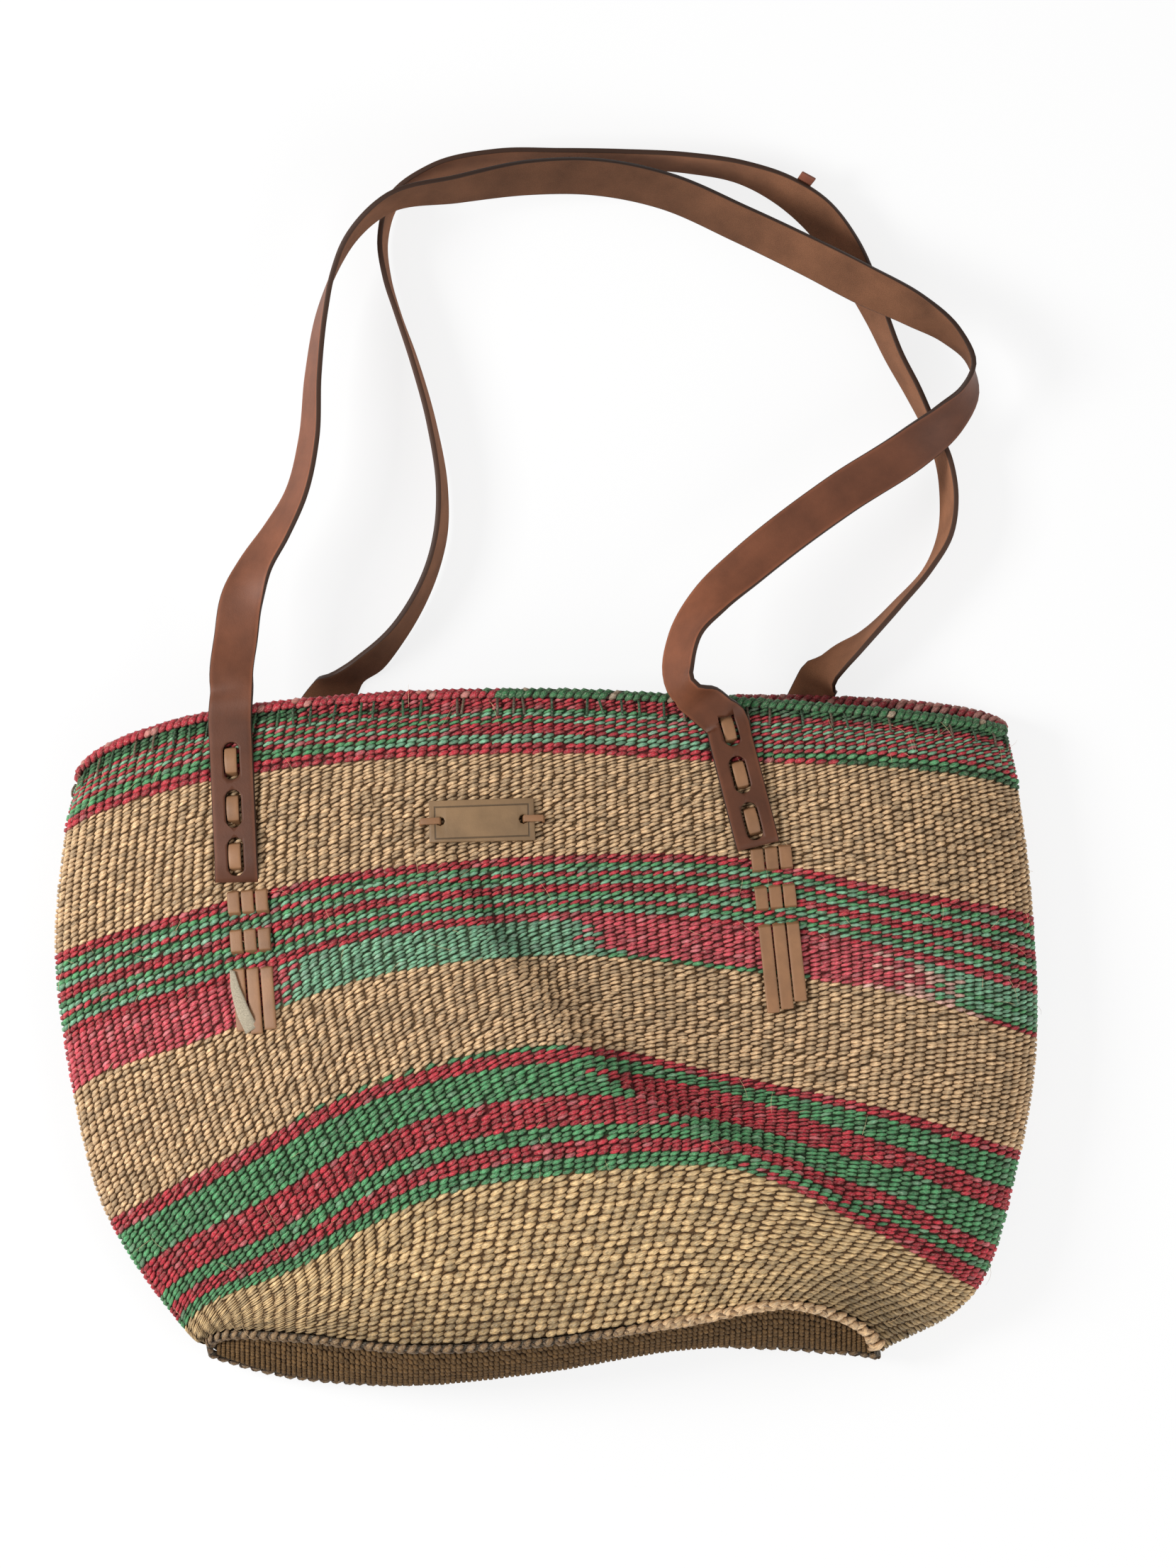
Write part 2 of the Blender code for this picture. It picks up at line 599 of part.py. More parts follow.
def make_tab(name, end, probes):
    """A strap's end: a band laid on the wall, over the rim braid and up to the hinge."""
    side = end["side"]
    start, up, length = tab_axis(end)
    across = np.array([up[1], -up[0]])
    rows = round(length / TAB_STATION) + 1
    stops = []
    for share in np.linspace(0, 1, rows):
        gap = 2 * FIT_GAP if share > 1 - TAB_STATION / length else FIT_GAP
        stops.append((start + share * length * up, across, gap))
    for pixel, lean in end["bend"]:
        turn = math.radians(lean)
        stops.append((bag_place(pixel), np.array([math.cos(turn), -math.sin(turn)]), 2 * FIT_GAP))
    hinge, hinge_width, hinge_lift = hinge_section(end)
    centres, widths = [], []
    for place, beside, gap in stops:
        lift = gap + STRAP_THICKNESS / 2
        centre, normal = seat_band(
            probes, "rim", place, beside, STRAP_WIDTH, side, lift, TAB_STATION)
        flat = np.array([beside[0], beside[1], 0.0])
        centres.append(centre)
        widths.append(unit(flat - normal * np.dot(flat, normal)) * STRAP_WIDTH / 2)
    centres = np.array(centres + [hinge])
    widths = square_to_hinge(centres, np.array(widths + [hinge_width]), hinge)
    lifts = band_lifts(centres, widths, STRAP_THICKNESS)[:-1]
    centres = centres[:-1]
    widths = widths[:-1]
    face = hinge - np.array([0, FIT_GAP / 2, 0])
    last = band_rings(face[None], hinge_width[None], hinge_lift[None])
    points, faces = tube(np.concatenate([band_rings(centres, widths, lifts), last]), False)
    tab = add_piece(name, points, faces, "leather")
    for slot in range(3):
        place = start + up * (SLOT_TO_TAB_END + (2 - slot) * SLOT_PITCH)
        point, normal = seat_point(probes["outer", side], place, side)
        cut(tab, stadium_cutter(point, normal, up, SLOT_LENGTH, SLOT_WIDTH, STRAP_THICKNESS))


def oriented(point, along, normal):
    """Three square axes at a point: along the plan direction, across it and out of the wall."""
    out = unit(normal)
    run = np.array([along[0], along[1], 0.0])
    run = unit(run - out * np.dot(run, out))
    return point, run, np.cross(run, out), out


def stadium_cutter(point, normal, along, length, width, depth, arc_steps=4):
    """A slot with round ends, as a prism through whatever lies on the wall there."""
    origin, run, beside, out = oriented(point, along, normal)
    radius = width / 2
    ring = []
    for end in (1, -1):
        for step in range(arc_steps + 1):
            angle = math.pi * (step / arc_steps - 0.5)
            reach = end * (length / 2 - radius + radius * math.cos(angle))
            ring.append(origin + reach * run + end * radius * math.sin(angle) * beside)
    ring = np.array(ring)
    low = -CUT_OVERRUN * out
    high = (depth + CUT_OVERRUN) * out
    points, faces = tube(np.stack([ring + low, ring + high]), False)
    return add_piece("slot_cutter", points, faces, "leather")


def box_points(point, along, normal, length, width, low, high):
    """Two rings of a square-cornered block set square to the wall."""
    origin, run, beside, out = oriented(point, along, normal)
    ring = []
    for a, b in ((-1, -1), (1, -1), (1, 1), (-1, 1)):
        ring.append(origin + a * length / 2 * run + b * width / 2 * beside)
    ring = np.array(ring)
    return np.stack([ring + low * out, ring + high * out])


def cut(piece, cutter):
    """Take the cutter out of a piece and hide it."""
    hole = piece.modifiers.new(cutter.name, "BOOLEAN")
    hole.operation = "DIFFERENCE"
    hole.solver = "EXACT"
    hole.object = cutter
    cutter.hide_render = True
    cutter.display_type = "WIRE"


SLITS = []


def add_slit(probes, place, along, side, width, rise, thickness):
    """Note a slit through the wall for a thong that slants through it over the crossing run."""
    point, normal = seat_point(probes["outer", side], place, side)
    slant = 2 * CROSSING_RUN / rise
    length = slant * WALL_THICKNESS + thickness + 2 * SLIT_CLEARANCE
    middle = point - normal * WALL_THICKNESS / 2
    reach = WALL_THICKNESS / 2 + CUT_OVERRUN
    across = width + 2 * SLIT_CLEARANCE
    SLITS.append(box_points(middle, along, normal, length, across, -reach, reach))


def make_thong(name, path, probes, side, width, thickness):
    """A flat thong along stops of (place, across, gap): the gap is to the wall's outer face when
    it is above zero and to the inner face when it is below, and long runs follow the wall."""
    stops = [path[0]]
    for before, after in zip(path, path[1:]):
        length = float(np.linalg.norm(after[0] - before[0]))
        parts = 1
        if before[2] * after[2] > 0:
            parts = max(1, round(length / THONG_STATION))
        for part in range(1, parts + 1):
            share = part / parts
            mix = [a + share * (b - a) for a, b in zip(before, after)]
            stops.append((mix[0], unit(mix[1]), mix[2]))
    centres, widths = [], []
    for place, across, gap in stops:
        face = "outer" if gap > 0 else "inner"
        lift = math.copysign(abs(gap) + thickness / 2, gap)
        centre, normal = seat_band(
            probes, face, place, across, width, side, lift, THONG_STATION / 2)
        flat = np.array([across[0], across[1], 0.0])
        centres.append(centre)
        widths.append(unit(flat - normal * np.dot(flat, normal)) * width / 2)
    centres = np.array(centres)
    widths = np.array(widths)
    rings = band_rings(centres, widths, band_lifts(centres, widths, thickness))
    points, faces = tube(rings, False)
    add_piece(name, points, faces, "thong")


def make_lacing(name, end, probes):
    """Three thongs for one strap end: up through a slot, back in, then twice out and in again
    below the tab, and a loose tail."""
    side = end["side"]
    start, up, _ = tab_axis(end)
    down = -up
    across = np.array([up[1], -up[0]])
    lean = math.radians(end["lace_lean"])
    lace_down = np.array([math.sin(lean), -math.cos(lean)])
    lace_across = np.array([math.cos(lean), math.sin(lean)])
    lace_start = start + across * end["lace_shift"] + down * end["lace_start"]
    low = 2 * FIT_GAP
    arch = FIT_GAP + STRAP_THICKNESS + THONG_ARCH - THONG_THICKNESS
    rise = WALL_THICKNESS + 2 * FIT_GAP + THONG_THICKNESS
    crossings = []
    reach = 0.0
    for turn in range(2):
        crossings += [reach, reach + THONG_LOOP]
        reach += THONG_LOOP + THONG_UNDER_WEFT
    crossings.append(reach)
    for distance in crossings:
        place = lace_start + lace_down * distance
        wide = 2 * THONG_PITCH + THONG_WIDTH
        add_slit(probes, place, lace_down, side, wide, rise, THONG_THICKNESS)
    run = CROSSING_RUN
    for slot, lane in enumerate(THONG_LANES):
        centre = start + up * (SLOT_TO_TAB_END + (2 - slot) * SLOT_PITCH)
        entry = centre + up * THONG_IN_SLOT / 2
        leave = centre + down * THONG_IN_SLOT / 2
        path = [
            (entry + up * (run + THONG_STUB), across, -FIT_GAP),
            (entry + up * run, across, -FIT_GAP),
            (entry + down * run, across, low),
            (centre, across, arch),
            (leave + up * run, across, low),
            (leave + down * run, across, -FIT_GAP),
        ]
        for place in (entry, leave):
            add_slit(probes, place, down, side, THONG_WIDTH, rise + FIT_GAP, THONG_THICKNESS)
        if lane:
            beside = across * lane * LANE_PITCH
            path.append((leave + down * (run + LANE_CHANGE) + beside, across, -FIT_GAP))
            last_leave = SLOT_TO_TAB_END - THONG_IN_SLOT / 2 - run
            path.append((start + up * last_leave + beside, across, -FIT_GAP))
        lane_start = lace_start + lace_across * lane * THONG_PITCH
        for number, distance in enumerate(crossings):
            gaps = (-FIT_GAP, FIT_GAP) if number % 2 == 0 else (FIT_GAP, -FIT_GAP)
            for step, gap in zip((-run, run), gaps):
                path.append((lane_start + lace_down * (distance + step), lace_across, gap))
        tail = end["tails"][lane + 1]
        path.append((lane_start + lace_down * (reach + tail), lace_across, FIT_GAP))
        make_thong(f"{name}_thong_{slot + 1}", path, probes, side, THONG_WIDTH, THONG_THICKNESS)


def make_loop(name, ends, route, base_turn):
    """A strap's free loop from its left hinge to its right one, twisting as the route says."""
    left, right = ends
    sections = [hinge_section(end) for end in (left, right)]
    table = [(*sections[0][0], base_turn + left["tilt"])]
    for across, down, lift_share, turn in route:
        table.append((*strap_place((across, down)), lift_share * STRAP_WIDTH, turn))
    table.append((*sections[1][0], base_turn - right["tilt"]))
    table = np.array(table)
    at = np.linspace(0, len(table) - 1, 2 * len(table) - 1)
    stations = cubic_weights(at, len(table), False) @ table
    centres = stations[:, :3]
    along = unit(np.gradient(centres, axis=0))
    flat = unit(np.stack([along[:, 1], -along[:, 0], np.zeros(len(along))], axis=1))
    rise = unit(np.cross(flat, along))
    turn = np.radians(stations[:, 3])[:, None]
    widths = (np.cos(turn) * flat + np.sin(turn) * rise) * STRAP_WIDTH / 2
    for section in sections:
        widths = square_to_hinge(centres, widths, section[0])
    lifts = unit(np.cross(widths, along)) * STRAP_THICKNESS / 2
    for index, (centre, half_width, half_lift) in zip((0, -1), sections):
        centres[index] = centre + np.array([0, FIT_GAP / 2, 0])
        widths[index] = half_width * np.sign(np.dot(half_width, widths[index]))
        lifts[index] = half_lift * np.sign(np.dot(half_lift, lifts[index]))
    points, faces = tube(band_rings(centres, widths, lifts), False)
    return add_piece(name, points, faces, "leather"), (centres, widths, lifts)


def make_label(probes):
    """The leather label with its two holes and the thong that holds each end."""
    centre = bag_place(LABEL_PIXEL)
    turn = math.radians(LABEL_TURN)
    along = np.array([math.cos(turn), -math.sin(turn)])
    across = np.array([-along[1], along[0]])
    gap = FIT_GAP + LABEL_THICKNESS / 2
    centres, widths = [], []
    for share in np.linspace(-0.5, 0.5, LABEL_STATIONS + 1):
        place = centre + along * share * LABEL_LENGTH
        middle, normal = seat_band(
            probes, "outer", place, across, LABEL_HEIGHT, 1, gap, LABEL_LENGTH / LABEL_STATIONS / 2)
        flat = np.array([across[0], across[1], 0.0])
        centres.append(middle)
        widths.append(unit(flat - normal * np.dot(flat, normal)) * LABEL_HEIGHT / 2)
    centres = np.array(centres)
    widths = np.array(widths)
    rings = band_rings(centres, widths, band_lifts(centres, widths, LABEL_THICKNESS))
    points, faces = tube(rings, False)
    label = add_piece("label_tag", points, faces, "label")
    over = 2 * FIT_GAP + LABEL_THICKNESS + LABEL_THONG_ARCH
    rise = over + WALL_THICKNESS + FIT_GAP + LABEL_THONG_THICKNESS
    for name, way in (("label_thong_left", -1), ("label_thong_right", 1)):
        outward = along * way
        hole = centre + outward * (LABEL_LENGTH / 2 - LABEL_HOLE_INSET)
        far = hole + outward * LABEL_THONG_SPAN
        point, normal = seat_point(probes["outer", 1], hole, 1)
        size = 2 * LABEL_HOLE_RADIUS
        cut(label, stadium_cutter(point, normal, outward, size, size, LABEL_THICKNESS))
        step = CROSSING_RUN / 2
        path = [
            (hole - outward * (step + THONG_STUB), across, -FIT_GAP),
            (hole - outward * step, across, -FIT_GAP),
            (hole + outward * step, across, over),
            (far - outward * step, across, over),
            (far + outward * step, across, -FIT_GAP),
            (far + outward * (step + THONG_STUB), across, -FIT_GAP),
        ]
        for place in (hole, far):
            width = LABEL_THONG_WIDTH
            add_slit(probes, place, outward, 1, width, rise, LABEL_THONG_THICKNESS)
        make_thong(name, path, probes, 1, LABEL_THONG_WIDTH, LABEL_THONG_THICKNESS)


def make_patch(strap):
    """The short leather tongue under the back strap whose tip sticks out at the top: it lies
    against the strap's underside, within one of the strap's straight stretches."""
    place = strap_place(PATCH_PIXEL)
    centres, widths, lifts = strap
    nearest = np.linalg.norm((centres[:-1] + centres[1:])[:, :2] / 2 - place, axis=1).argmin()
    rings = []
    for share in PATCH_SHARES:
        centre, width, lift = (
            grid[nearest] + share * (grid[nearest + 1] - grid[nearest]) for grid in strap)
        under = -math.copysign(1, lift[2]) * unit(lift)
        middle = centre + unit(width) * (STRAP_WIDTH + 2 * PATCH_SHOW - PATCH_LENGTH) / 2
        middle += under * (STRAP_THICKNESS / 2 + FIT_GAP + PATCH_THICKNESS / 2)
        rings.append((middle, unit(width) * PATCH_LENGTH / 2, -under * PATCH_THICKNESS / 2))
    points, faces = tube(band_rings(*(np.array(column) for column in zip(*rings))), False)
    return add_piece("strap_patch", points, faces, "leather")


def add_axis(name, lift, riders):
    """An empty on a strap's hinge line, with the pieces that swing about it."""
    axis = bpy.data.objects.new(name, None)
    axis.location = (BAG_WIDTH / 2, HINGE_BEYOND_RIM, lift)
    bpy.context.collection.objects.link(axis)
    for rider in riders:
        rider.parent = axis
        rider.matrix_parent_inverse.translation = -Vector(axis.location)


def set_down():
    """Shift everything so that the origin is under the middle of the whole object."""
    bpy.context.view_layer.update()
    corners = []
    for piece in bpy.data.objects:
        if piece.type == "MESH" and not piece.hide_render:
            corners += [piece.matrix_world @ Vector(corner) for corner in piece.bound_box]
    corners = np.array([tuple(corner) for corner in corners])
    low = corners.min(axis=0)
    high = corners.max(axis=0)
    shift = Vector((-(low[0] + high[0]) / 2, -(low[1] + high[1]) / 2, -low[2]))
    for piece in bpy.data.objects:
        if piece.parent is None:
            piece.location = piece.location + shift


def build():
    """Make every piece in the order in which the bag is put together."""
    clear_scene()
    wall, outer, inner, sheet = make_wall()
    make_base()
    rim_points, rim_faces = tube(edge_rings(0, RIM_BRAID_RADIUS, 0.0), True)
    add_piece("rim_braid", rim_points, rim_faces, "rim")
    outset = BASE_BRAID_RADIUS - WALL_THICKNESS / 2
    points, faces = tube(edge_rings(len(NET) - 1, BASE_BRAID_RADIUS, outset), True)
    add_piece("base_braid", points, faces, "base")
    probes = make_probes(outer, inner, sheet, rim_points, rim_faces)
    for strap, route, base_turn, lift in (
            ("front", FRONT_ROUTE, 0.0, FRONT_AXIS_LIFT),
            ("back", BACK_ROUTE, 180.0, -BACK_AXIS_DROP)):
        ends = [STRAP_ENDS[f"{strap}_left"], STRAP_ENDS[f"{strap}_right"]]
        for way, end in zip(("left", "right"), ends):
            make_tab(f"{strap}_strap_{way}_end", end, probes)
            make_lacing(f"{strap}_{way}", end, probes)
        loop, stations = make_loop(f"{strap}_strap_loop", ends, route, base_turn)
        riders = [loop]
        if strap == "back":
            riders.append(make_patch(stations))
        add_axis(f"{strap}_strap_axis", lift, riders)
    make_label(probes)
    points, faces = [], []
    for slit in SLITS:
        new_points, new_faces = tube(slit, False)
        faces += [tuple(index + len(points) for index in face) for face in new_faces]
        points += list(new_points)
    cut(wall, add_piece("wall_slits", points, faces, "sisal"))
    set_down()


build()
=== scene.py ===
"""A twined sisal basket with two laced leather straps, lying on its back on a white table."""
import math
import re

import bmesh
import bpy
import numpy as np
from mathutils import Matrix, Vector
from mathutils.bvhtree import BVHTree


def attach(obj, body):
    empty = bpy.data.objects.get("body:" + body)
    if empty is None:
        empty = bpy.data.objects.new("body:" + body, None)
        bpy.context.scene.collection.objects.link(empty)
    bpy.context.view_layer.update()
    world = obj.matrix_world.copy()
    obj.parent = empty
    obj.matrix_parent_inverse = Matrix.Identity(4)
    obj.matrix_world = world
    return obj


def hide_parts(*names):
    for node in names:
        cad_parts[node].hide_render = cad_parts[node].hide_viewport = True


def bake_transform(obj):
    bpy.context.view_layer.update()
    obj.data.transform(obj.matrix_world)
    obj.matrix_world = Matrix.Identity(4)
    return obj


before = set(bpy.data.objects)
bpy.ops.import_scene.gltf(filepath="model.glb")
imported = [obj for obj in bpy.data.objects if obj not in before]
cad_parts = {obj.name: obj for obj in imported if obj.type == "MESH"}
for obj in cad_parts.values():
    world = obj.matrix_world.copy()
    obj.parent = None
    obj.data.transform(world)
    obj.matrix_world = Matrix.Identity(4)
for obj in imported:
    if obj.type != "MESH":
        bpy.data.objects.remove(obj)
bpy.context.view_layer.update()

# The bag's form: a soft tube of twined sisal that lies flattened on its back. The rows that part
# its stripes run between two ends, with nine places between them across the front. They are
# given in pixels of the photograph and spread over the bag's real width and length.
BAG_WIDTH = 0.448
BAG_LENGTH = 0.324
BAG_DEPTH = 0.088
WALL_THICKNESS = 0.004
FOLD_HEIGHT = 0.012
FOLD_NEAR_WIDTH = 0.055
FOLD_FAR_WIDTH = 0.0095
EDGE_FOLD = 0.0055
FOLD_FADE_SHARE = 0.03
BAG_CORNER = np.array([-0.22433, 0.03901, 0.00203])
LEFT_PIXEL = 75
WIDTH_PIXELS = 1390
TOP_PIXEL = 964
LENGTH_PIXELS = 1005
STATION_COUNT = 16
HALF_TURN = 8
ROW_LEFT_PIXELS = (104, 89, 76, 102, 150, 258, 286)
ROW_RIGHT_PIXELS = (1425, 1440, 1460, 1465, 1442, 1380, 1248)
ROW_PIXELS = (
    (1106, 1061, 1016, 991, 984, 995, 1010, 1026, 1038),
    (1175, 1147, 1103, 1074, 1062, 1074, 1081, 1098, 1115),
    (1347, 1327, 1282, 1229, 1207, 1209, 1253, 1278, 1292),
    (1545, 1510, 1460, 1376, 1345, 1369, 1400, 1447, 1465),
    (1718, 1690, 1615, 1515, 1470, 1517, 1563, 1608, 1625),
    (1878, 1836, 1786, 1688, 1650, 1644, 1725, 1796, 1822),
    (1898, 1878, 1880, 1893, 1883, 1856, 1832, 1862, 1906),
)
FRONT_LIFT_SHARES = (
    (0.165, 0.295, 0.420, 0.470, 0.489, 0.480, 0.450, 0.330, 0.175),
    (0.175, 0.330, 0.485, 0.568, 0.580, 0.557, 0.515, 0.365, 0.185),
    (0.185, 0.365, 0.570, 0.682, 0.682, 0.614, 0.570, 0.395, 0.193),
    (0.193, 0.380, 0.648, 0.807, 0.750, 0.591, 0.570, 0.415, 0.205),
    (0.193, 0.370, 0.659, 0.864, 0.864, 0.659, 0.591, 0.420, 0.205),
    (0.185, 0.345, 0.570, 0.800, 0.880, 0.840, 0.690, 0.432, 0.200),
    (0.180, 0.310, 0.460, 0.600, 0.660, 0.640, 0.560, 0.370, 0.190),
)
BACK_LIFT_SHARES = (0.040, 0.040, 0.040, 0.040, 0.042, 0.052, 0.064)
BACK_ROUNDING_SHARES = np.array([0.18, 0, 0, 0, 0, 0, 0.18])
BACK_RISE_SHARES = (0.070, 0.060, 0.045, 0.030, 0.015, 0.000)
BACK_BASE_PIXELS = (1906, 1899, 1895, 1923, 1945, 1937, 1915)
CREST_PIXELS = ((600, 1190), (690, 1330), (790, 1450), (870, 1540), (1080, 1640), (1250, 1760))
LAST_ROW = len(ROW_PIXELS) - 1


def unit(vectors):
    """The same vectors at length one."""
    return vectors / np.linalg.norm(vectors, axis=-1, keepdims=True)


def cubic_weights(at, count, closed):
    """Weights of a smooth curve through count points, read at the positions in at: the four
    nearest points share each place by cubic polynomials of the part of the step passed."""
    at = np.asarray(at, float)
    cell = np.floor(at).astype(int)
    if not closed:
        cell = np.clip(cell, 0, count - 2)
    part = at - cell
    shares = (
        ((2 - part) * part - 1) * part / 2,
        ((3 * part - 5) * part * part + 2) / 2,
        ((4 - 3 * part) * part + 1) * part / 2,
        (part - 1) * part * part / 2,
    )
    weights = np.zeros((len(at), count))
    row = np.arange(len(at))
    for step, share in enumerate(shares):
        index = cell + step - 1
        if closed:
            np.add.at(weights, (row, index % count), share)
            continue
        inside = (index >= 0) & (index < count)
        np.add.at(weights, (row[inside], index[inside]), share[inside])
        for past, end, next_in in ((index < 0, 0, 1), (index >= count, count - 1, count - 2)):
            np.add.at(weights, (row[past], end), 2 * share[past])
            np.add.at(weights, (row[past], next_in), -share[past])
    return weights


def bag_place(pixels):
    """Places on the bag's plan from pixels: across is the pixel's share of the width, down its
    share of the length."""
    pixels = np.asarray(pixels, float)
    across = BAG_WIDTH * (pixels[..., 0] - LEFT_PIXEL) / WIDTH_PIXELS
    down = BAG_LENGTH * (pixels[..., 1] - TOP_PIXEL) / LENGTH_PIXELS
    return np.stack([across, -down], axis=-1)


def bag_net():
    """Control points of the outer face, one closed loop of stations for each weave row: the
    front's stations have their own heights, the back's lie flat but for rounded ends."""
    net = np.zeros((LAST_ROW + 1, STATION_COUNT, 3))
    angle = np.pi * np.arange(STATION_COUNT) / HALF_TURN
    share = (1 - np.cos(angle)) / 2
    behind = np.arange(HALF_TURN + 1, STATION_COUNT)
    for row, heights in enumerate(ROW_PIXELS):
        left = bag_place((ROW_LEFT_PIXELS[row], heights[0]))
        right = bag_place((ROW_RIGHT_PIXELS[row], heights[-1]))
        lifts = np.array(FRONT_LIFT_SHARES[row])
        net[row, :, 0] = left[0] + share * (right[0] - left[0])
        net[row, :HALF_TURN + 1, 1] = bag_place([(LEFT_PIXEL, height) for height in heights])[:, 1]
        net[row, :HALF_TURN + 1, 2] = BAG_DEPTH * lifts
        edge = (lifts[0] + lifts[-1]) / 2
        back = BACK_LIFT_SHARES[row]
        net[row, behind, 2] = BAG_DEPTH * (back + BACK_ROUNDING_SHARES * (edge - back))
        if row < LAST_ROW:
            rise = BAG_LENGTH * BACK_RISE_SHARES[row] * -np.sin(angle[behind])
            net[row, behind, 1] = left[1] + share[behind] * (right[1] - left[1]) + rise
        else:
            net[row, behind, 1] = bag_place([(LEFT_PIXEL, height) for height in BACK_BASE_PIXELS])[:, 1]
    return net


def crest_lift(places):
    """Height of the fold over each place: a bell across the crest line, wide below it and steep
    above it, that fades to nothing at the line's two ends."""
    crest = bag_place(CREST_PIXELS)
    steps = np.diff(crest, axis=0)
    lengths = np.linalg.norm(steps, axis=1)
    starts = np.concatenate([[0], np.cumsum(lengths)])
    nearest = np.full(len(places), np.inf)
    signed = np.zeros(len(places))
    along = np.zeros(len(places))
    for start, step, length, passed in zip(crest, steps, lengths, starts):
        away = places - start
        share = np.clip(away @ step / length**2, 0, 1)
        distance = np.linalg.norm(away - share[:, None] * step, axis=1)
        side = np.sign(step[0] * away[:, 1] - step[1] * away[:, 0])
        closer = distance < nearest
        nearest = np.where(closer, distance, nearest)
        signed = np.where(closer, side * distance, signed)
        along = np.where(closer, passed + share * length, along)
    width = np.where(signed < 0, FOLD_NEAR_WIDTH, FOLD_FAR_WIDTH)
    fade = np.sin(np.pi * np.clip(along / starts[-1], 0, 1)) ** 0.5
    return FOLD_HEIGHT * fade * np.exp(-((signed / width) ** 2))


BAG_NET = bag_net()


def bag_points(turn, fall):
    """Outer face of the bag: turn runs round it from the left edge over the front, 16 for the
    whole way, and fall runs from the rim, 0, to the base, 6."""
    around = cubic_weights(turn % STATION_COUNT, STATION_COUNT, True)
    down = cubic_weights(fall, LAST_ROW + 1, False)
    points = np.einsum("ik,kjc,ij->ic", down, BAG_NET, around)
    front = np.clip(np.sin(np.pi * turn / HALF_TURN), 0, 1) ** 0.5
    points[:, 2] += front * crest_lift(points[:, :2])
    return points + BAG_CORNER


def bag_frames(turn, fall):
    """Points on the outer face with the outward normal, the way along the row, the way to the
    base, and the lengths of one turn and one fall there, all from small steps to each side."""
    step = 0.02
    turn = np.asarray(turn, float)
    fall = np.asarray(fall, float)
    lower = np.clip(fall + step, 0, LAST_ROW)
    upper = np.clip(fall - step, 0, LAST_ROW)
    across = (bag_points(turn + step, fall) - bag_points(turn - step, fall)) / (2 * step)
    down = (bag_points(turn, lower) - bag_points(turn, upper)) / (lower - upper)[:, None]
    sizes = np.linalg.norm(across, axis=1), np.linalg.norm(down, axis=1)
    return bag_points(turn, fall), unit(np.cross(down, across)), unit(across), unit(down), sizes


def lining_points(turn, fall):
    """Inner face of the bag under the same turn and fall: the wall's thickness in along the
    normal, drawn in from the two folded edges, where the wall doubles back on itself."""
    share = (1 - np.cos(np.pi * turn / HALF_TURN)) / 2
    fade = np.exp(-share / FOLD_FADE_SHARE) - np.exp((share - 1) / FOLD_FADE_SHARE)
    inner_turn = np.arccos(1 - 2 * (share + EDGE_FOLD / BAG_WIDTH * fade)) * HALF_TURN / np.pi
    sides = []
    for mirrored in (inner_turn, STATION_COUNT - inner_turn):
        points, normal = bag_frames(mirrored, fall)[:2]
        sides.append(points - WALL_THICKNESS * normal)
    around = turn % STATION_COUNT
    front = np.where(turn % HALF_TURN == 0, 0.5, np.where(around < HALF_TURN, 1.0, 0.0))[:, None]
    return front * sides[0] + (1 - front) * sides[1]


# The weaving draft: dyed rows between bands of plain sisal. Each dyed row is one or more runs of
# colour, and a number between two runs is the pixel across at which the weaver changed yarn.
ROWS_IN_BAND = (14, 26, 25, 24, 26, 24)
COLUMNS_IN_BAND = (190, 190, 190, 184, 164, 130)
MIXING_PIXELS = 36
PALE_FROM = 0.93
PALER = (0.86, 0.09)
FLECKED_PIXELS = (400, 650)
STITCH_SHADES = (0.64, 0.62)


def tint(red, green, blue):
    """A colour as the eye measures it, 0 to 255 a channel, in the renderer's linear numbers."""
    share = np.array([red, green, blue]) / 255
    return np.where(share > 0.04045, ((share + 0.055) / 1.055) ** 2.4, share / 12.92)


YARNS = {
    "n": tint(212, 178, 136),
    "r": tint(184, 38, 56),
    "d": tint(146, 42, 52),
    "p": tint(204, 76, 90),
    "w": tint(218, 172, 158),
    "g": tint(76, 148, 96),
    "k": tint(48, 104, 62),
    "t": tint(116, 172, 138),
}
DYED_BANDS = {
    0: ("k430r980k", "k410r1010k", "g440k600r", "r690g940r", "t", "r", "g760t", "r", "t640r860t", "r",
        "g560t", "g480t1030r", "r1060g", "r1180k"),
    2: ("r", "r", "g", "t", "r", "g", "t", "r", "r", "g", "t", "r", "g", "t", "r", "r700p",
        "p400t820p1215w1262t", "p420t845p1270w1300t", "p405t825p1300w1352t", "p415t860p1235w1268p1310w1345t",
        "p400t815p1290w1330g", "p425t850p1320w1368t", "p395t835p1250w1290t", "p410t870p1275w1340g",
        "p395t850g1130p1235w1380r"),
    4: ("n400g796r", "r", "r806g", "r820g", "g", "g838r1050g", "g850r1130g", "g868r", "g874r", "g892r",
        "g905r", "r1245g", "r1205g", "r1165g", "r938g", "r950g", "r968g", "g1210r", "g1170r", "g1000r", "r1230g",
        "r1200g", "r1030g1200r", "g1240r", "g1060r", "g1075r"),
}


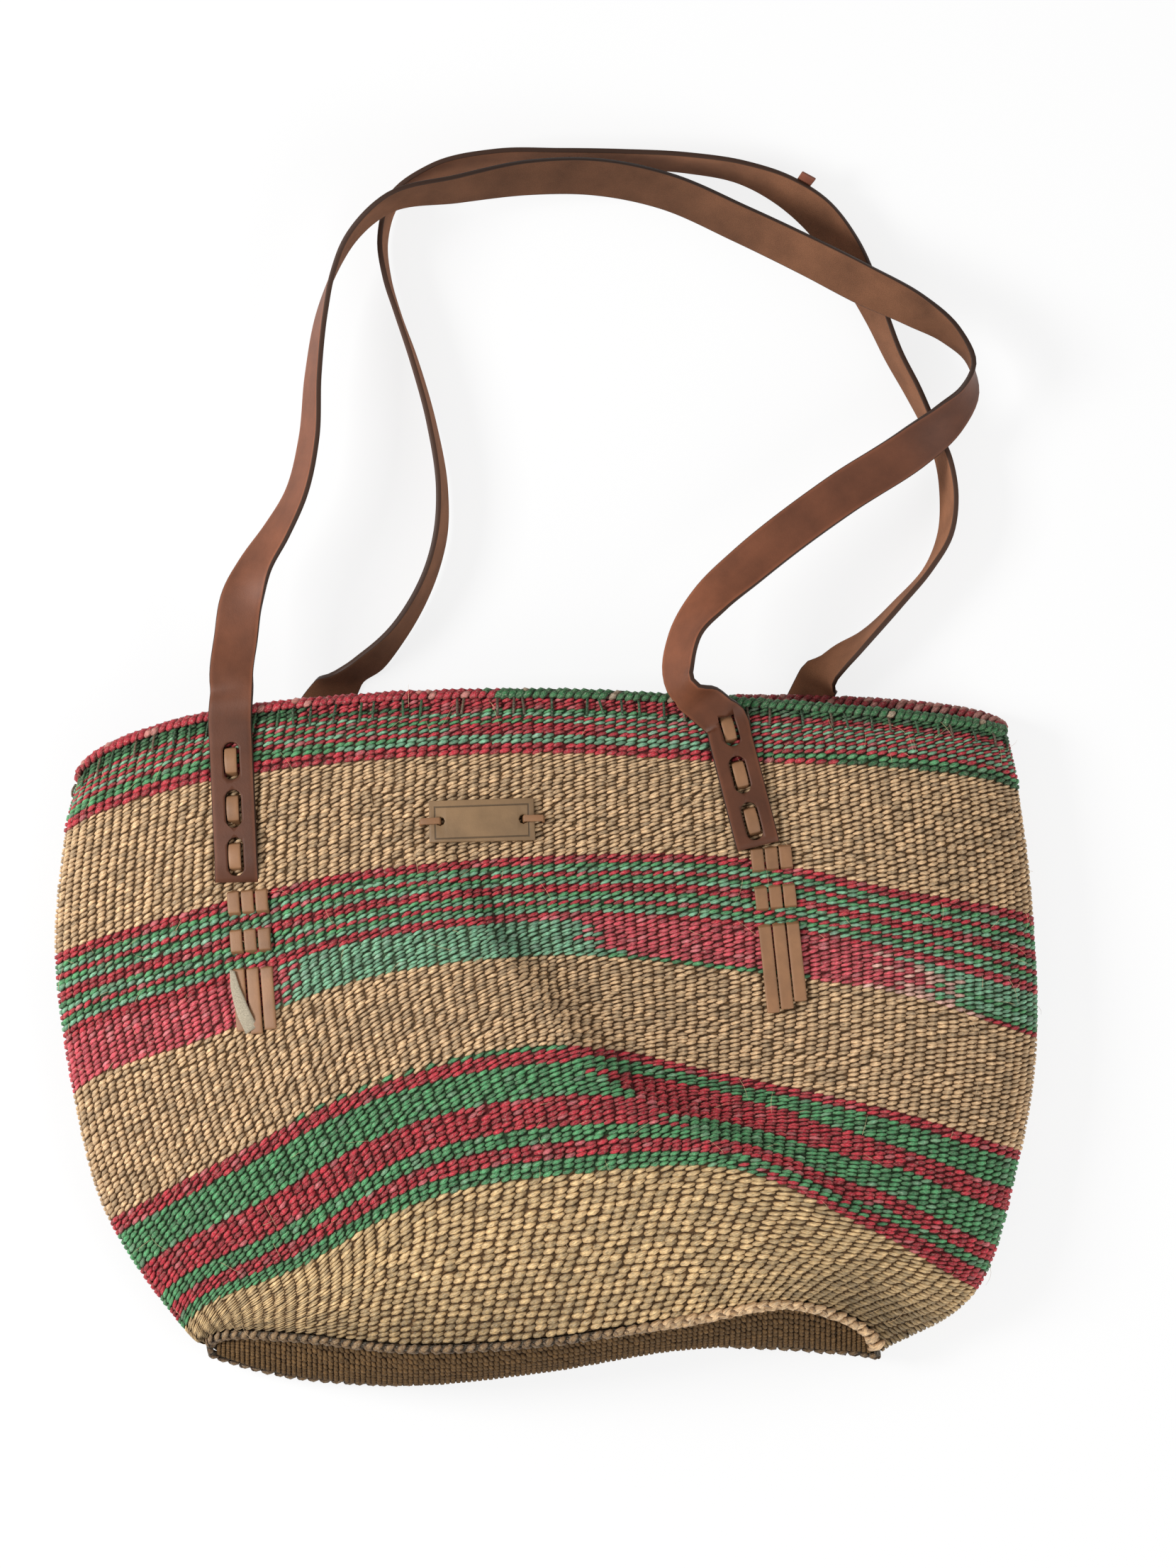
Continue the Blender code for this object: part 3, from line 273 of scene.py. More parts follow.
def yarn_colours(band, row, pixel, chance):
    """Colour of each stitch from its band, its row in the band and its pixel across: the run of
    the draft that it falls in, now and then let through to plain sisal or a paler dye. Where two
    runs meet, the yarns mix over a few stitches."""
    colours = np.tile(YARNS["n"], (len(pixel), 1))
    pixel = pixel + MIXING_PIXELS * (chance[:, 1] - 0.5)
    for dyed, rows in DYED_BANDS.items():
        for number, runs in enumerate(rows):
            here = (band == dyed) & (row == number)
            start = -np.inf
            for letter, ending in re.findall("([a-z])([0-9]*)", runs):
                end = float(ending or "inf")
                colours[here & (pixel >= start) & (pixel < end)] = YARNS[letter]
                start = end
    pale = np.isin(band, list(DYED_BANDS)) & (chance[:, 0] > PALE_FROM)
    colours[pale] = PALER[0] * colours[pale] + PALER[1]
    flecked = (pixel > FLECKED_PIXELS[0]) & (pixel < FLECKED_PIXELS[1])
    every_other = np.arange(len(pixel)) % 2 == 0
    colours[(band == 4) & (row == 0) & flecked & every_other] = YARNS["n"]
    return colours * (STITCH_SHADES[0] + STITCH_SHADES[1] * chance[:, 1:2])


# The stitches of the wall: two strands of sisal yarn twined round each upright, so that the
# outside is columns of slanted grains, one to each row, that lie close and tuck under each other.
STITCH_SLANT = math.radians(20)
STITCH_HEIGHT = 0.0015
STITCH_SEAT = 0.00105
STITCH_SHARES = (0.61, 0.61, 0.61, 0.61, 0.61, 0.63)
STITCH_DROP_SHARE = 0.53
STITCH_HEIGHT_SHARE = 0.60
STITCH_DIVE = 0.55 * STITCH_HEIGHT
STITCH_UNEVENNESS = (0.05, 0.09, 0.16, 0.07)
ROW_UNEVENNESS = 0.04
# Towards the lower left and right corners the last band turns browner and darker: partly a browner yarn, partly
# painted shade where the wall turns down away from the light.
LOWER_CORNERS = ((13, 14, 900, -250), (4, 14, 1080, 160))
CORNER_BROWN_AND_SHADE = np.array([0.60, 0.62, 0.67])
LAST_BAND_TINT = np.array([1.0, 1.03, 0.92])
GRAIN_SIDES = 6
GRAIN_RINGS = np.array([-0.74, 0.0, 0.74])
# These four paint shade into each grain's colour: darkest in the gaps between grains, lighter up the grain's
# sides, darker again at its tips, and warmer where the shade is deep.
GAP_SHADE = 0.07
GAP_RISE = (0.22, 0.88)
TIP_SHADE = 0.20
GAP_SHADE_WARMTH = np.array([0.85, 1.04, 1.25])


def grain_pattern():
    """One twisted grain of yarn, a spindle between two tips: rings whose radius is one less the
    square of the way along, to the power 0.55. Gives points, three- and four-sided faces."""
    angle = 2 * np.pi * np.arange(GRAIN_SIDES) / GRAIN_SIDES
    radius = (1 - GRAIN_RINGS**2) ** 0.55
    rings = np.zeros((len(GRAIN_RINGS), GRAIN_SIDES, 3))
    rings[..., 0] = GRAIN_RINGS[:, None]
    rings[..., 1] = radius[:, None] * np.cos(angle)
    rings[..., 2] = radius[:, None] * np.sin(angle)
    points = np.concatenate([[[-1, 0, 0]], rings.reshape(-1, 3), [[1, 0, 0]]])
    side = np.arange(GRAIN_SIDES)
    beside = (side + 1) % GRAIN_SIDES
    last = 1 + GRAIN_SIDES * (len(GRAIN_RINGS) - 1)
    caps = np.concatenate([
        np.stack([0 * side, 1 + beside, 1 + side], axis=1),
        np.stack([0 * side + len(points) - 1, last + side, last + beside], axis=1),
    ])
    over = GRAIN_SIDES
    bands = [np.stack([ring + side, ring + beside, ring + over + beside, ring + over + side], axis=1)
             for ring in range(1, last, over)]
    return points, caps, np.concatenate(bands)


def put_mesh(name, points, faces):
    """A smooth mesh from an array of points and arrays of faces with equal corner counts."""
    mesh = bpy.data.meshes.new(name)
    corners = np.concatenate([part.ravel() for part in faces])
    counts = np.concatenate([np.full(len(part), part.shape[1]) for part in faces])
    starts = np.concatenate([[0], np.cumsum(counts)[:-1]])
    mesh.vertices.add(len(points))
    mesh.loops.add(len(corners))
    mesh.polygons.add(len(counts))
    mesh.vertices.foreach_set("co", np.asarray(points, np.float32).ravel())
    mesh.loops.foreach_set("vertex_index", corners.astype(np.int32))
    mesh.polygons.foreach_set("loop_start", starts.astype(np.int32))
    mesh.polygons.foreach_set("use_smooth", np.ones(len(counts), bool))
    mesh.update(calc_edges=True)
    piece = bpy.data.objects.new(name, mesh)
    bpy.context.scene.collection.objects.link(piece)
    return piece


def put_colours(piece, colours):
    """Each point's yarn colour, kept on the mesh for the material to read."""
    layer = piece.data.color_attributes.new("yarn", "FLOAT_COLOR", "POINT")
    full = np.concatenate([colours, np.ones((len(colours), 1))], axis=1)
    layer.data.foreach_set("color", full.astype(np.float32).ravel())


def put_places(piece, name, places):
    """A place of its own for each point, such as the way along and round a strand."""
    layer = piece.data.attributes.new(name, "FLOAT_VECTOR", "POINT")
    layer.data.foreach_set("vector", np.asarray(places, np.float32).ravel())


def square_to(vectors, others):
    """The part of the vectors that is square to the others, at length one."""
    return unit(vectors - others * np.sum(vectors * others, axis=1, keepdims=True))


def grains(name, centres, along, out, halves, colours, dive):
    """Many grains as one piece: each centre gets the pattern stretched by its three half sizes
    along its own axes, with the tips lowered by dive times the square of the way along. Colours
    get painted shade, darker down each grain's sides towards the gaps and at its tips, and each
    grain has its own place in the pattern of the fibres."""
    pattern, caps, bands = grain_pattern()
    side = np.cross(out, along)
    reach = pattern[None, :, 0, None] * along[:, None] * halves[:, None, 0:1]
    width = pattern[None, :, 1, None] * side[:, None] * halves[:, None, 1:2]
    height = pattern[None, :, 2] * halves[:, 2:3] - dive * pattern[None, :, 0] ** 2
    lift = height[..., None] * out[:, None]
    points = centres[:, None] + reach + width + lift
    starts = len(pattern) * np.arange(len(centres))
    faces = [(starts[:, None, None] + part).reshape(-1, part.shape[1]) for part in (caps, bands)]
    piece = put_mesh(name, points.reshape(-1, 3), faces)
    # Painted shade: each point's colour darkens down the grain's sides towards the gaps and at its tips.
    rising = np.clip(GAP_RISE[0] + GAP_RISE[1] * pattern[:, 2], 0, 1)
    depth = GAP_SHADE + (1 - GAP_SHADE) * rising * (1 - TIP_SHADE * pattern[:, 0] ** 2)
    shaded = colours[:, None] * depth[None, :, None] ** GAP_SHADE_WARMTH
    put_colours(piece, shaded.reshape(-1, 3))
    number = np.arange(len(centres))
    strand = np.zeros((len(centres), len(pattern), 3))
    strand[..., 0] = pattern[None, :, 0] + 0.37 * number[:, None] % 11
    strand[..., 1] = (np.arctan2(pattern[:, 2], pattern[:, 1]) / np.pi)[None]
    strand[..., 2] = 0.71 * number[:, None] % 17
    put_places(piece, "strand", strand.reshape(-1, 3))
    return piece


def even_turns(count, fall=3.0):
    """Turns at which one weave row, the bag's middle one if none is named, is cut into equal
    lengths."""
    fine = np.linspace(0, STATION_COUNT, 2001)
    points = bag_points(fine, np.full(len(fine), fall))
    way = np.concatenate([[0], np.cumsum(np.linalg.norm(np.diff(points, axis=0), axis=1))])
    return np.interp(np.arange(count) / count * way[-1], way, fine)


def to_pixels(points):
    """Pixel across of places in the model's frame."""
    return LEFT_PIXEL + (points[:, 0] - BAG_CORNER[0]) / BAG_WIDTH * WIDTH_PIXELS


def cells(rows, columns):
    """Row and column number of every cell of a table, row by row."""
    return (grid.ravel() for grid in np.meshgrid(np.arange(rows), np.arange(columns), indexing="ij"))


def feed(tree, socket, value):
    """A shader socket set to a value, or joined to another node's output."""
    if isinstance(value, bpy.types.NodeSocket):
        tree.links.new(value, socket)
    else:
        socket.default_value = value


def step_node(tree, kind, *values, setting=None, **named):
    """One shader node with its setting, its first inputs in their order and others by name."""
    made = tree.nodes.new(f"ShaderNode{kind}")
    if setting:
        setattr(made, *setting)
    for socket, value in zip(made.inputs, values):
        feed(tree, socket, value)
    for label, value in named.items():
        feed(tree, made.inputs[label.replace("_", " ")], value)
    return made


def arithmetic(tree, operation, *values):
    """The result of one sum on numbers."""
    return step_node(tree, "Math", *values, setting=("operation", operation)).outputs[0]


def spread(tree, value, low, high, to_low=0.0, to_high=1.0):
    """A number's range from low to high, clipped and laid out between two others."""
    return step_node(tree, "MapRange", value, low, high, to_low, to_high).outputs[0]


def scaled(tree, colour, level):
    """A colour or place times a number."""
    return step_node(tree, "VectorMath", colour, setting=("operation", "SCALE"), Scale=level).outputs[0]


def mixed(tree, share, first, second):
    """The second colour over the first by its share."""
    mix = step_node(tree, "Mix", share, setting=("data_type", "RGBA"))
    feed(tree, mix.inputs[6], first)
    feed(tree, mix.inputs[7], second)
    return mix.outputs[2]


def noise(tree, place, scale, detail, **more):
    """Soft noise over a place, between nought and one."""
    return step_node(tree, "TexNoise", Vector=place, Scale=scale, Detail=detail, **more).outputs[0]


def from_mesh(tree, name, output="Vector"):
    """What the mesh carries under a name."""
    return step_node(tree, "Attribute", setting=("attribute_name", name)).outputs[output]


def cover(tree, shader, colour, height, strength, distance):
    """The shader's colour, and its bump from a height."""
    bump = step_node(tree, "Bump", Strength=strength, Distance=distance, Height=height)
    feed(tree, shader.inputs["Base Color"], colour)
    feed(tree, shader.inputs["Normal"], bump.outputs[0])


def effect(name, sockets_in, sockets_out):
    """An empty shader group with named inputs and outputs: its tree, inputs and outputs."""
    tree = bpy.data.node_groups.new(name, "ShaderNodeTree")
    for way, sockets in (("INPUT", sockets_in), ("OUTPUT", sockets_out)):
        for label, kind, *default in sockets:
            socket = tree.interface.new_socket(name=label, in_out=way, socket_type=f"NodeSocket{kind}")
            if default:
                socket.default_value = default[0]
    return tree, tree.nodes.new("NodeGroupInput").outputs, tree.nodes.new("NodeGroupOutput").inputs


def finish_of(name, **plain):
    """A new material, its tree and its shader, with the plain values set on the shader."""
    made = bpy.data.materials.new(name)
    made.use_nodes = True
    shader = made.node_tree.nodes["Principled BSDF"]
    for key, value in plain.items():
        shader.inputs[key.replace("_", " ")].default_value = value
    return made, made.node_tree, shader


# Every strand shows the fine fibres it was twisted from, lighter and darker streaks that run
# along it and a few pale ones whose sheen is painted in, so this effect is shared by all the
# yarn on the bag.
fibre_tree, fibre_in, fibre_out = effect(
    "twisted fibres",
    (("Strand", "Vector"), ("Yarn", "Color"), ("Contrast", "Float", 0.5), ("Gloss", "Float", 0.36)),
    (("Color", "Color"), ("Height", "Float")))
stretched = step_node(fibre_tree, "VectorMath", fibre_in["Strand"], (0.7, 3.4, 1.0),
                      setting=("operation", "MULTIPLY")).outputs[0]
streaks = noise(fibre_tree, stretched, 2.4, 3.0, Roughness=0.6)
amount = spread(fibre_tree, streaks, 0.3, 0.7, -1.0, 1.0)
amount = arithmetic(fibre_tree, "MULTIPLY", amount, fibre_in["Contrast"])
streaked = scaled(fibre_tree, fibre_in["Yarn"], arithmetic(fibre_tree, "ADD", amount, 1.0))
# Pale fibres and a painted sheen: along some streaks the colour is mixed towards pale cream.
pale_fibres_and_sheen = spread(fibre_tree, noise(fibre_tree, stretched, 4.6, 2.0), 0.52, 0.72, 0.0, fibre_in["Gloss"])
feed(fibre_tree, fibre_out["Color"], mixed(fibre_tree, pale_fibres_and_sheen, streaked, (*tint(222, 212, 190), 1)))
feed(fibre_tree, fibre_out["Height"], streaks)


def yarn_finish(name, pale_fibres_and_sheen, **plain):
    """A finish of twisted yarn with a share of pale fibres in it, their sheen painted into the colour."""
    made, tree, shader = finish_of(name, **plain)
    fibres = step_node(tree, "Group", setting=("node_tree", fibre_tree), Strand=from_mesh(tree, "strand"),
                       Yarn=from_mesh(tree, "yarn", "Color"), Contrast=0.56, Gloss=pale_fibres_and_sheen)
    cover(tree, shader, fibres.outputs["Color"], fibres.outputs["Height"], 0.55, 0.0004)
    return made


sisal_yarn = yarn_finish("sisal yarn", 0.36, Roughness=0.62, Specular_IOR_Level=0.35, Sheen_Weight=0.04)
draw = np.random.default_rng(11)
for band, (rows, column_count) in enumerate(zip(ROWS_IN_BAND, COLUMNS_IN_BAND)):
    columns = even_turns(column_count, band + 0.5)
    number, column = cells(rows, column_count)
    stray = draw.normal(0, 1, (len(number), 4)) * STITCH_UNEVENNESS
    chance = draw.random((len(number), 2))
    shift = ROW_UNEVENNESS * draw.normal(0, 1, rows)[number]
    turn = columns[column] + STATION_COUNT / column_count * (stray[:, 0] + shift)
    fall = band + (number + 0.5 + stray[:, 1]) / rows
    points, normal, across, down, sizes = bag_frames(turn, fall)
    stride = sizes[0] * np.gradient(columns)[column]
    pitch_down = sizes[1] / rows
    slant = STITCH_SLANT * (1 + stray[:, 2])[:, None]
    along = square_to(unit(np.cos(slant) * across - np.sin(slant) * down), normal)
    swell = 1 + stray[:, 3]
    thick = np.minimum(STITCH_HEIGHT, STITCH_HEIGHT_SHARE * pitch_down) * swell
    halves = np.stack([STITCH_SHARES[band] * stride, STITCH_DROP_SHARE * pitch_down * swell, thick], axis=1)
    pixel = to_pixels(points)
    colours = yarn_colours(np.full(len(number), band), number, pixel, chance)
    # The last band darkens towards its two lower corners: partly browner yarn, partly painted shade.
    if band == LAST_ROW - 1:
        corner_brown_and_shade = sum(np.clip((number - first) / reach, 0, 1) * np.clip((pixel - edge) / fade, 0, 1)
                      for first, reach, edge, fade in LOWER_CORNERS)
        colours = colours * LAST_BAND_TINT * (1 - corner_brown_and_shade[:, None] * CORNER_BROWN_AND_SHADE)
    stitches = grains(f"wall_stitches_{band + 1}", points - STITCH_SEAT * normal, along, normal, halves,
                      colours, STITCH_DIVE)
    stitches.data.materials.append(sisal_yarn)
    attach(stitches, "basket")


# Behind the stitches lie the uprights, a closed sheet of sisal with the weave showing on its
# inner face as well. It fills the gaps between the grains and is what one sees in the mouth.
SHELL_SEAT = 0.0016
SHELL_COLUMNS = 190
SHELL_ROWS = sum(ROWS_IN_BAND)
# Painted shade: the outer face is seen only in the gaps between the grains, and its colour is darkened as the
# shade there.
OUTSIDE_PAINTED_SHADE = (0.28, 0.22, 0.15)
INSIDE_SHADE = 0.62


def grid_faces(rows, columns, closed_rows=False, closed_columns=False):
    """Four-sided faces over points in rows and columns, closed on themselves where asked: a step
    down the rows, one across the columns, and back."""
    row, column = cells(rows - (not closed_rows), columns - (not closed_columns))
    here = row * columns
    after = (row + 1) % rows * columns
    beside = (column + 1) % columns
    return np.stack([here + column, after + column, after + beside, here + beside], axis=1)


row, column = cells(SHELL_ROWS + 1, SHELL_COLUMNS)
turn = even_turns(SHELL_COLUMNS)[column]
fall = np.interp(row, np.concatenate([[0], np.cumsum(ROWS_IN_BAND)]), np.arange(LAST_ROW + 1))
points, normal = bag_frames(turn, fall)[:2]
size = len(turn)
outside = grid_faces(SHELL_ROWS + 1, SHELL_COLUMNS, closed_columns=True)
edge = np.arange(SHELL_COLUMNS)
next_edge = (edge + 1) % SHELL_COLUMNS
low_edge = SHELL_ROWS * SHELL_COLUMNS
ends = np.concatenate([
    np.stack([edge, next_edge, size + next_edge, size + edge], axis=1),
    low_edge + np.stack([edge, size + edge, size + next_edge, next_edge], axis=1),
])
shell = put_mesh("wall_uprights", np.concatenate([points - SHELL_SEAT * normal, lining_points(turn, fall)]),
                 [outside, outside[:, ::-1] + size, ends])
band = np.minimum(fall.astype(int), LAST_ROW - 1)
number = np.clip(((fall - band) * np.array(ROWS_IN_BAND)[band]).astype(int), 0, None)
colours = yarn_colours(band, number, to_pixels(points), draw.random((size, 2)) * 0.9)
# The outer face's colours carry painted shade for the gaps between grains.
put_colours(shell, np.concatenate([colours * OUTSIDE_PAINTED_SHADE, INSIDE_SHADE * colours]))
put_places(shell, "strand", np.tile(np.stack([column, row, 0 * row], axis=1), (2, 1)))

woven_inside, tree, shader = finish_of("sisal inside", Roughness=0.85)
place = step_node(tree, "SeparateXYZ", from_mesh(tree, "strand")).outputs
ribs = []
for source in (arithmetic(tree, "MULTIPLY_ADD", place[0], 0.5, place[1]), place[0]):
    wave = arithmetic(tree, "SINE", arithmetic(tree, "MULTIPLY", source, math.pi))
    ribs.append(arithmetic(tree, "ABSOLUTE", wave))
weave = arithmetic(tree, "MULTIPLY", *ribs)
# The ribs are drawn lighter and the grooves between them darker: painted shade in the grooves.
woven = scaled(tree, from_mesh(tree, "yarn", "Color"), spread(tree, weave, 0.0, 1.0, 0.55, 1.1))
cover(tree, shader, woven, weave, 0.8, 0.0012)
shell.data.materials.append(woven_inside)
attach(shell, "basket")
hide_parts("woven_wall")


# The rim: the yarn ends are plaited into a thick edge, crimson on the left and green on the
# right, and on the back at the far right red with plain flecks. It is worked as four rows of
# large slanted grains round the wall's top edge.
RIM_SEAT = 0.0018
RIM_GRAINS = 232
RIM_ROWS = ((-8, 36), (58, 30), (125, 30), (188, 36))
RIM_GRAIN = (0.0028, 0.0018, 0.0016)
RIM_LIFT = 0.0019
RIM_DIVE = 0.0006
RIM_CORE_RADIUS = 0.0016
RIM_GREEN = YARNS["k"] * 1.1
RIM_CRIMSON = YARNS["r"] * 0.86
RIM_BACK_RED = YARNS["d"] * 1.2
SWITCH_PIXEL = 690
SWITCH_UNEVENNESS = 12
BACK_SWITCH_PIXEL = 1040
CORE_SIDES = 8
CORE_STATIONS = 190


def edge_line(turn, fall, seat, outset):
    """Middle line of a braid on the wall's end, by the seat past the end and by the outset beyond
    the middle of the wall's thickness, with the ways out of the wall, past its end and along it."""
    falls = np.full(len(turn), float(fall))
    outer, _, across, down, _ = bag_frames(turn, falls)
    inner = lining_points(turn, falls)
    normal = unit(outer - inner)
    away = square_to(down if fall else -down, normal)
    return (outer + inner) / 2 + normal * outset + away * seat, normal, away, across


def braid_ways(normal, away, across, lean, tilt):
    """The ways along and out of slanted grains: lean turns the way out of the wall towards the
    way past its end, and tilt turns the way along the edge towards the third way."""
    out = math.cos(lean) * normal + math.sin(lean) * away
    past = math.cos(lean) * away - math.sin(lean) * normal
    along = unit(np.cos(tilt) * across + np.sin(tilt) * past)
    return along, square_to(out, along)


def turned_out(piece):
    """Turn a closed piece's faces outwards."""
    build = bmesh.new()
    build.from_mesh(piece.data)
    bmesh.ops.recalc_face_normals(build, faces=build.faces)
    build.to_mesh(piece.data)
    build.free()


def circle(radius, sides):
    """A round profile."""
    angle = 2 * np.pi * np.arange(sides) / sides
    return radius * np.stack([np.cos(angle), np.sin(angle)], axis=1)


def carried(name, middle, first, second, profile, closed=False):
    """A profile carried along a middle line: each of its points is set off by its two numbers
    along the two ways of the station. An open bar gets flat ends."""
    offsets = profile[None, :, 0, None] * first[:, None] + profile[None, :, 1, None] * second[:, None]
    around = np.arange(len(profile))[None]
    faces = [grid_faces(len(middle), len(profile), closed, True)]
    if not closed:
        faces += [around[:, ::-1], (len(middle) - 1) * len(profile) + around]
    piece = put_mesh(name, (middle[:, None] + offsets).reshape(-1, 3), faces)
    turned_out(piece)
    return piece


def spots_of(piece):
    """The places of a piece's points."""
    spots = np.zeros(3 * len(piece.data.vertices))
    piece.data.vertices.foreach_get("co", spots)
    return spots.reshape(-1, 3)


def dress(piece, colour):
    """One yarn colour and a running place along the strand for a plain bar of yarn."""
    spots = spots_of(piece)
    put_colours(piece, np.tile(colour, (len(spots), 1)))
    put_places(piece, "strand", spots * 300)


rim_pieces = []
rim_turns = even_turns(RIM_GRAINS)
for number, (lean, slant) in enumerate(RIM_ROWS):
    stray = draw.normal(0, 1, (RIM_GRAINS, 3))
    turn = rim_turns + STATION_COUNT / RIM_GRAINS * (0.4 * number + 0.05 * stray[:, 0])
    middle, *ways = edge_line(turn, 0, RIM_SEAT, 0.0)
    along, out = braid_ways(*ways, math.radians(lean), np.radians(slant + 5 * stray[:, 1])[:, None])
    pixel = to_pixels(middle)
    far_back = (turn % STATION_COUNT > HALF_TURN) & (pixel > BACK_SWITCH_PIXEL)
    chance = draw.random((RIM_GRAINS, 2))
    green = pixel > SWITCH_PIXEL + SWITCH_UNEVENNESS * stray[:, 0]
    colours = np.where(green[:, None], RIM_GREEN, RIM_CRIMSON)
    colours = np.where(far_back[:, None], RIM_BACK_RED, colours)
    fleck = (chance[:, 0] > 0.93) | (far_back & (chance[:, 0] > 0.5))
    colours[fleck] = 0.5 * colours[fleck] + 0.5 * YARNS["w"]
    rim_pieces.append(grains(
        f"rim_braid_row_{number + 1}", middle + out * RIM_LIFT, along, out,
        (1 + 0.08 * stray[:, 2:]) * RIM_GRAIN, colours * (0.85 + 0.3 * chance[:, 1:2]), RIM_DIVE))
core_turns = even_turns(CORE_STATIONS)
middle, normal, away, _ = edge_line(core_turns, 0, RIM_SEAT, 0.0)
core = carried("rim_core", middle, normal, away, circle(RIM_CORE_RADIUS, CORE_SIDES), True)
# The core is seen only between the braid's grains: its near-black red is painted shade there.
dress(core, YARNS["d"] * 0.25)
for piece in rim_pieces + [core]:
    piece.data.materials.append(sisal_yarn)
    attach(piece, "basket")
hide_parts("rim_braid")


# Binding stitches: a thin yarn comes out under the braid every 9 to 11 mm and runs straight down
# over the first rows, holding the plait to the wall.
BINDING_COUNT = 88
BINDING_RADIUS = 0.0006
BINDING_SIDES = 6
BINDING_STEPS = 7
BINDING_ARCH = 0.00085
BINDING_DEPTH = 0.0004
BINDING_SHADES = (
    YARNS["k"] * 0.4,
    YARNS["k"] * 0.6,
    YARNS["n"] * 0.1,
    YARNS["k"] * 0.3,
    YARNS["n"] * 0.16,
)


def joined(name, pieces):
    """Several pieces as one object, in the given order."""
    with bpy.context.temp_override(active_object=pieces[0], selected_editable_objects=pieces):
        bpy.ops.object.join()
    pieces[0].name = name
    pieces[0].data.name = name
    return pieces[0]


bars = []
steps = np.linspace(0, 1, BINDING_STEPS)
arch = BINDING_ARCH * np.sin(np.pi * steps) - BINDING_DEPTH
for number, start in enumerate(even_turns(BINDING_COUNT)):
    shift = 0.03 * draw.normal()
    length = 0.30 + 0.08 * draw.random()
    turn = start + shift + 0.012 * draw.normal() * steps
    points, normal, across, _, _ = bag_frames(turn, length * steps)
    bar = carried(f"binding_{number}", points + normal * arch[:, None], across, normal,
                  circle(BINDING_RADIUS, BINDING_SIDES))
    dress(bar, BINDING_SHADES[int(len(BINDING_SHADES) * draw.random())])
    bars.append(bar)
bindings = joined("rim_bindings", bars)
bindings.data.materials.append(sisal_yarn)
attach(bindings, "basket")


# The ridge round the base: where the wall ends, two strands are twined opposite ways into a
# raised chevron, and a rolled yarn closes it against the base.
RIDGE_GRAINS = 122
RIDGE_ROWS = ((-4, 38), (48, -36), (115, 20))
RIDGE_GRAIN = (0.0046, 0.0024, 0.0017)
RIDGE_LIFT = 0.0018
RIDGE_DIVE = 0.0007
RIDGE_CORE_RADIUS = 0.0015
RIDGE_SEAT = 0.0020
RIDGE_OUTSET = 0.0012
RIDGE_SHOWS = (820, 1020)
# The base's yarn colour, darker and browner than the wall: partly its own dirtier colour, partly painted shade.
BASE_TINT = tint(114, 86, 52)
ridge_pieces = []
for number, (lean, slant) in enumerate(RIDGE_ROWS):
    stray = draw.normal(0, 1, (RIDGE_GRAINS, 3))
    turn = even_turns(RIDGE_GRAINS) + STATION_COUNT / RIDGE_GRAINS * 0.05 * stray[:, 0]
    middle, *ways = edge_line(turn, LAST_ROW, RIDGE_SEAT, RIDGE_OUTSET)
    shows = np.clip((to_pixels(middle) - RIDGE_SHOWS[0]) / (RIDGE_SHOWS[1] - RIDGE_SHOWS[0]), 0, 1)
    shows = np.where(turn % STATION_COUNT > HALF_TURN, 0, shows)[:, None]
    along, out = braid_ways(*ways, math.radians(lean), -np.radians(slant + 4 * stray[:, 1])[:, None])
    halves = (1 + 0.07 * stray[:, 2:]) * (0.64 + 0.46 * shows) * RIDGE_GRAIN
    fade = shows if number else 0.15 + 0.85 * shows
    # Where the ridge shows, its sisal is painted 1.2 times lighter, painted light against the shade it lies in;
    # where hidden it takes the base's colour.
    colours = fade * 1.2 * YARNS["n"] + (1 - fade) * BASE_TINT
    colours = colours * (0.84 + 0.26 * draw.random((RIDGE_GRAINS, 1)))
    ridge_pieces.append(grains(f"base_ridge_row_{number + 1}", middle + out * RIDGE_LIFT, along, out, halves,
                               colours, RIDGE_DIVE))
middle, normal, away, _ = edge_line(core_turns, LAST_ROW, RIDGE_SEAT, RIDGE_OUTSET)
core = carried("base_ridge_core", middle, normal, away, circle(RIDGE_CORE_RADIUS, CORE_SIDES), True)
# The core is seen only between the ridge's grains: its near-black colour is painted shade there.
dress(core, BASE_TINT * 0.2)
for piece in ridge_pieces + [core]:
    piece.data.materials.append(sisal_yarn)
    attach(piece, "basket")
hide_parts("base_braid")


# The base: a plate of the same twining inside the wall's lower end, its rows running from front
# to back. It bulges outwards, and the ridge hangs over its front edge.
BASE_THICKNESS = 0.004
BASE_BULGE = 0.0085
BASE_ROWS = 124
BASE_STITCHES = 15
BASE_SLANT = 24
BASE_GRAIN = (0.70, 0.00135, 0.0011)
BASE_DIVE = 0.0006
BASE_SEAT = 0.0008
BASE_ENDS = (0.012, 0.988)
BASE_SHEET_SEAT = 0.0014
SHEET_COLUMNS = 90
SHEET_STEPS = 14
SHEET_ENDS = (0.12, 7.88)


def base_points(column, share):
    """The base's outer face: column runs along it, 0 to 8 turns of the front, and share from the
    ridge in front to the ridge behind, a straight line between them that bulges by a parabola."""
    front, back = (edge_line(turn, LAST_ROW, RIDGE_SEAT, 0)[0] for turn in (column, STATION_COUNT - column))
    fade = np.clip(np.sin(np.pi * column / HALF_TURN), 0, 1) ** 0.6
    line = front + share[:, None] * (back - front)
    line[:, 1] -= BASE_BULGE * 4 * share * (1 - share) * fade
    return line


def base_frames(column, share):
    """Points on the base with the outward normal, the two ways over it, and its depth."""
    step = 0.01
    first = base_points(column + step, share) - base_points(column - step, share)
    second = base_points(column, share + step) - base_points(column, share - step)
    normal = unit(np.cross(second, first))
    normal = np.where(normal[:, 1:2] > 0, -normal, normal)
    depth = np.linalg.norm(second, axis=1) / (2 * step)
    return base_points(column, share), normal, unit(first), unit(second), depth


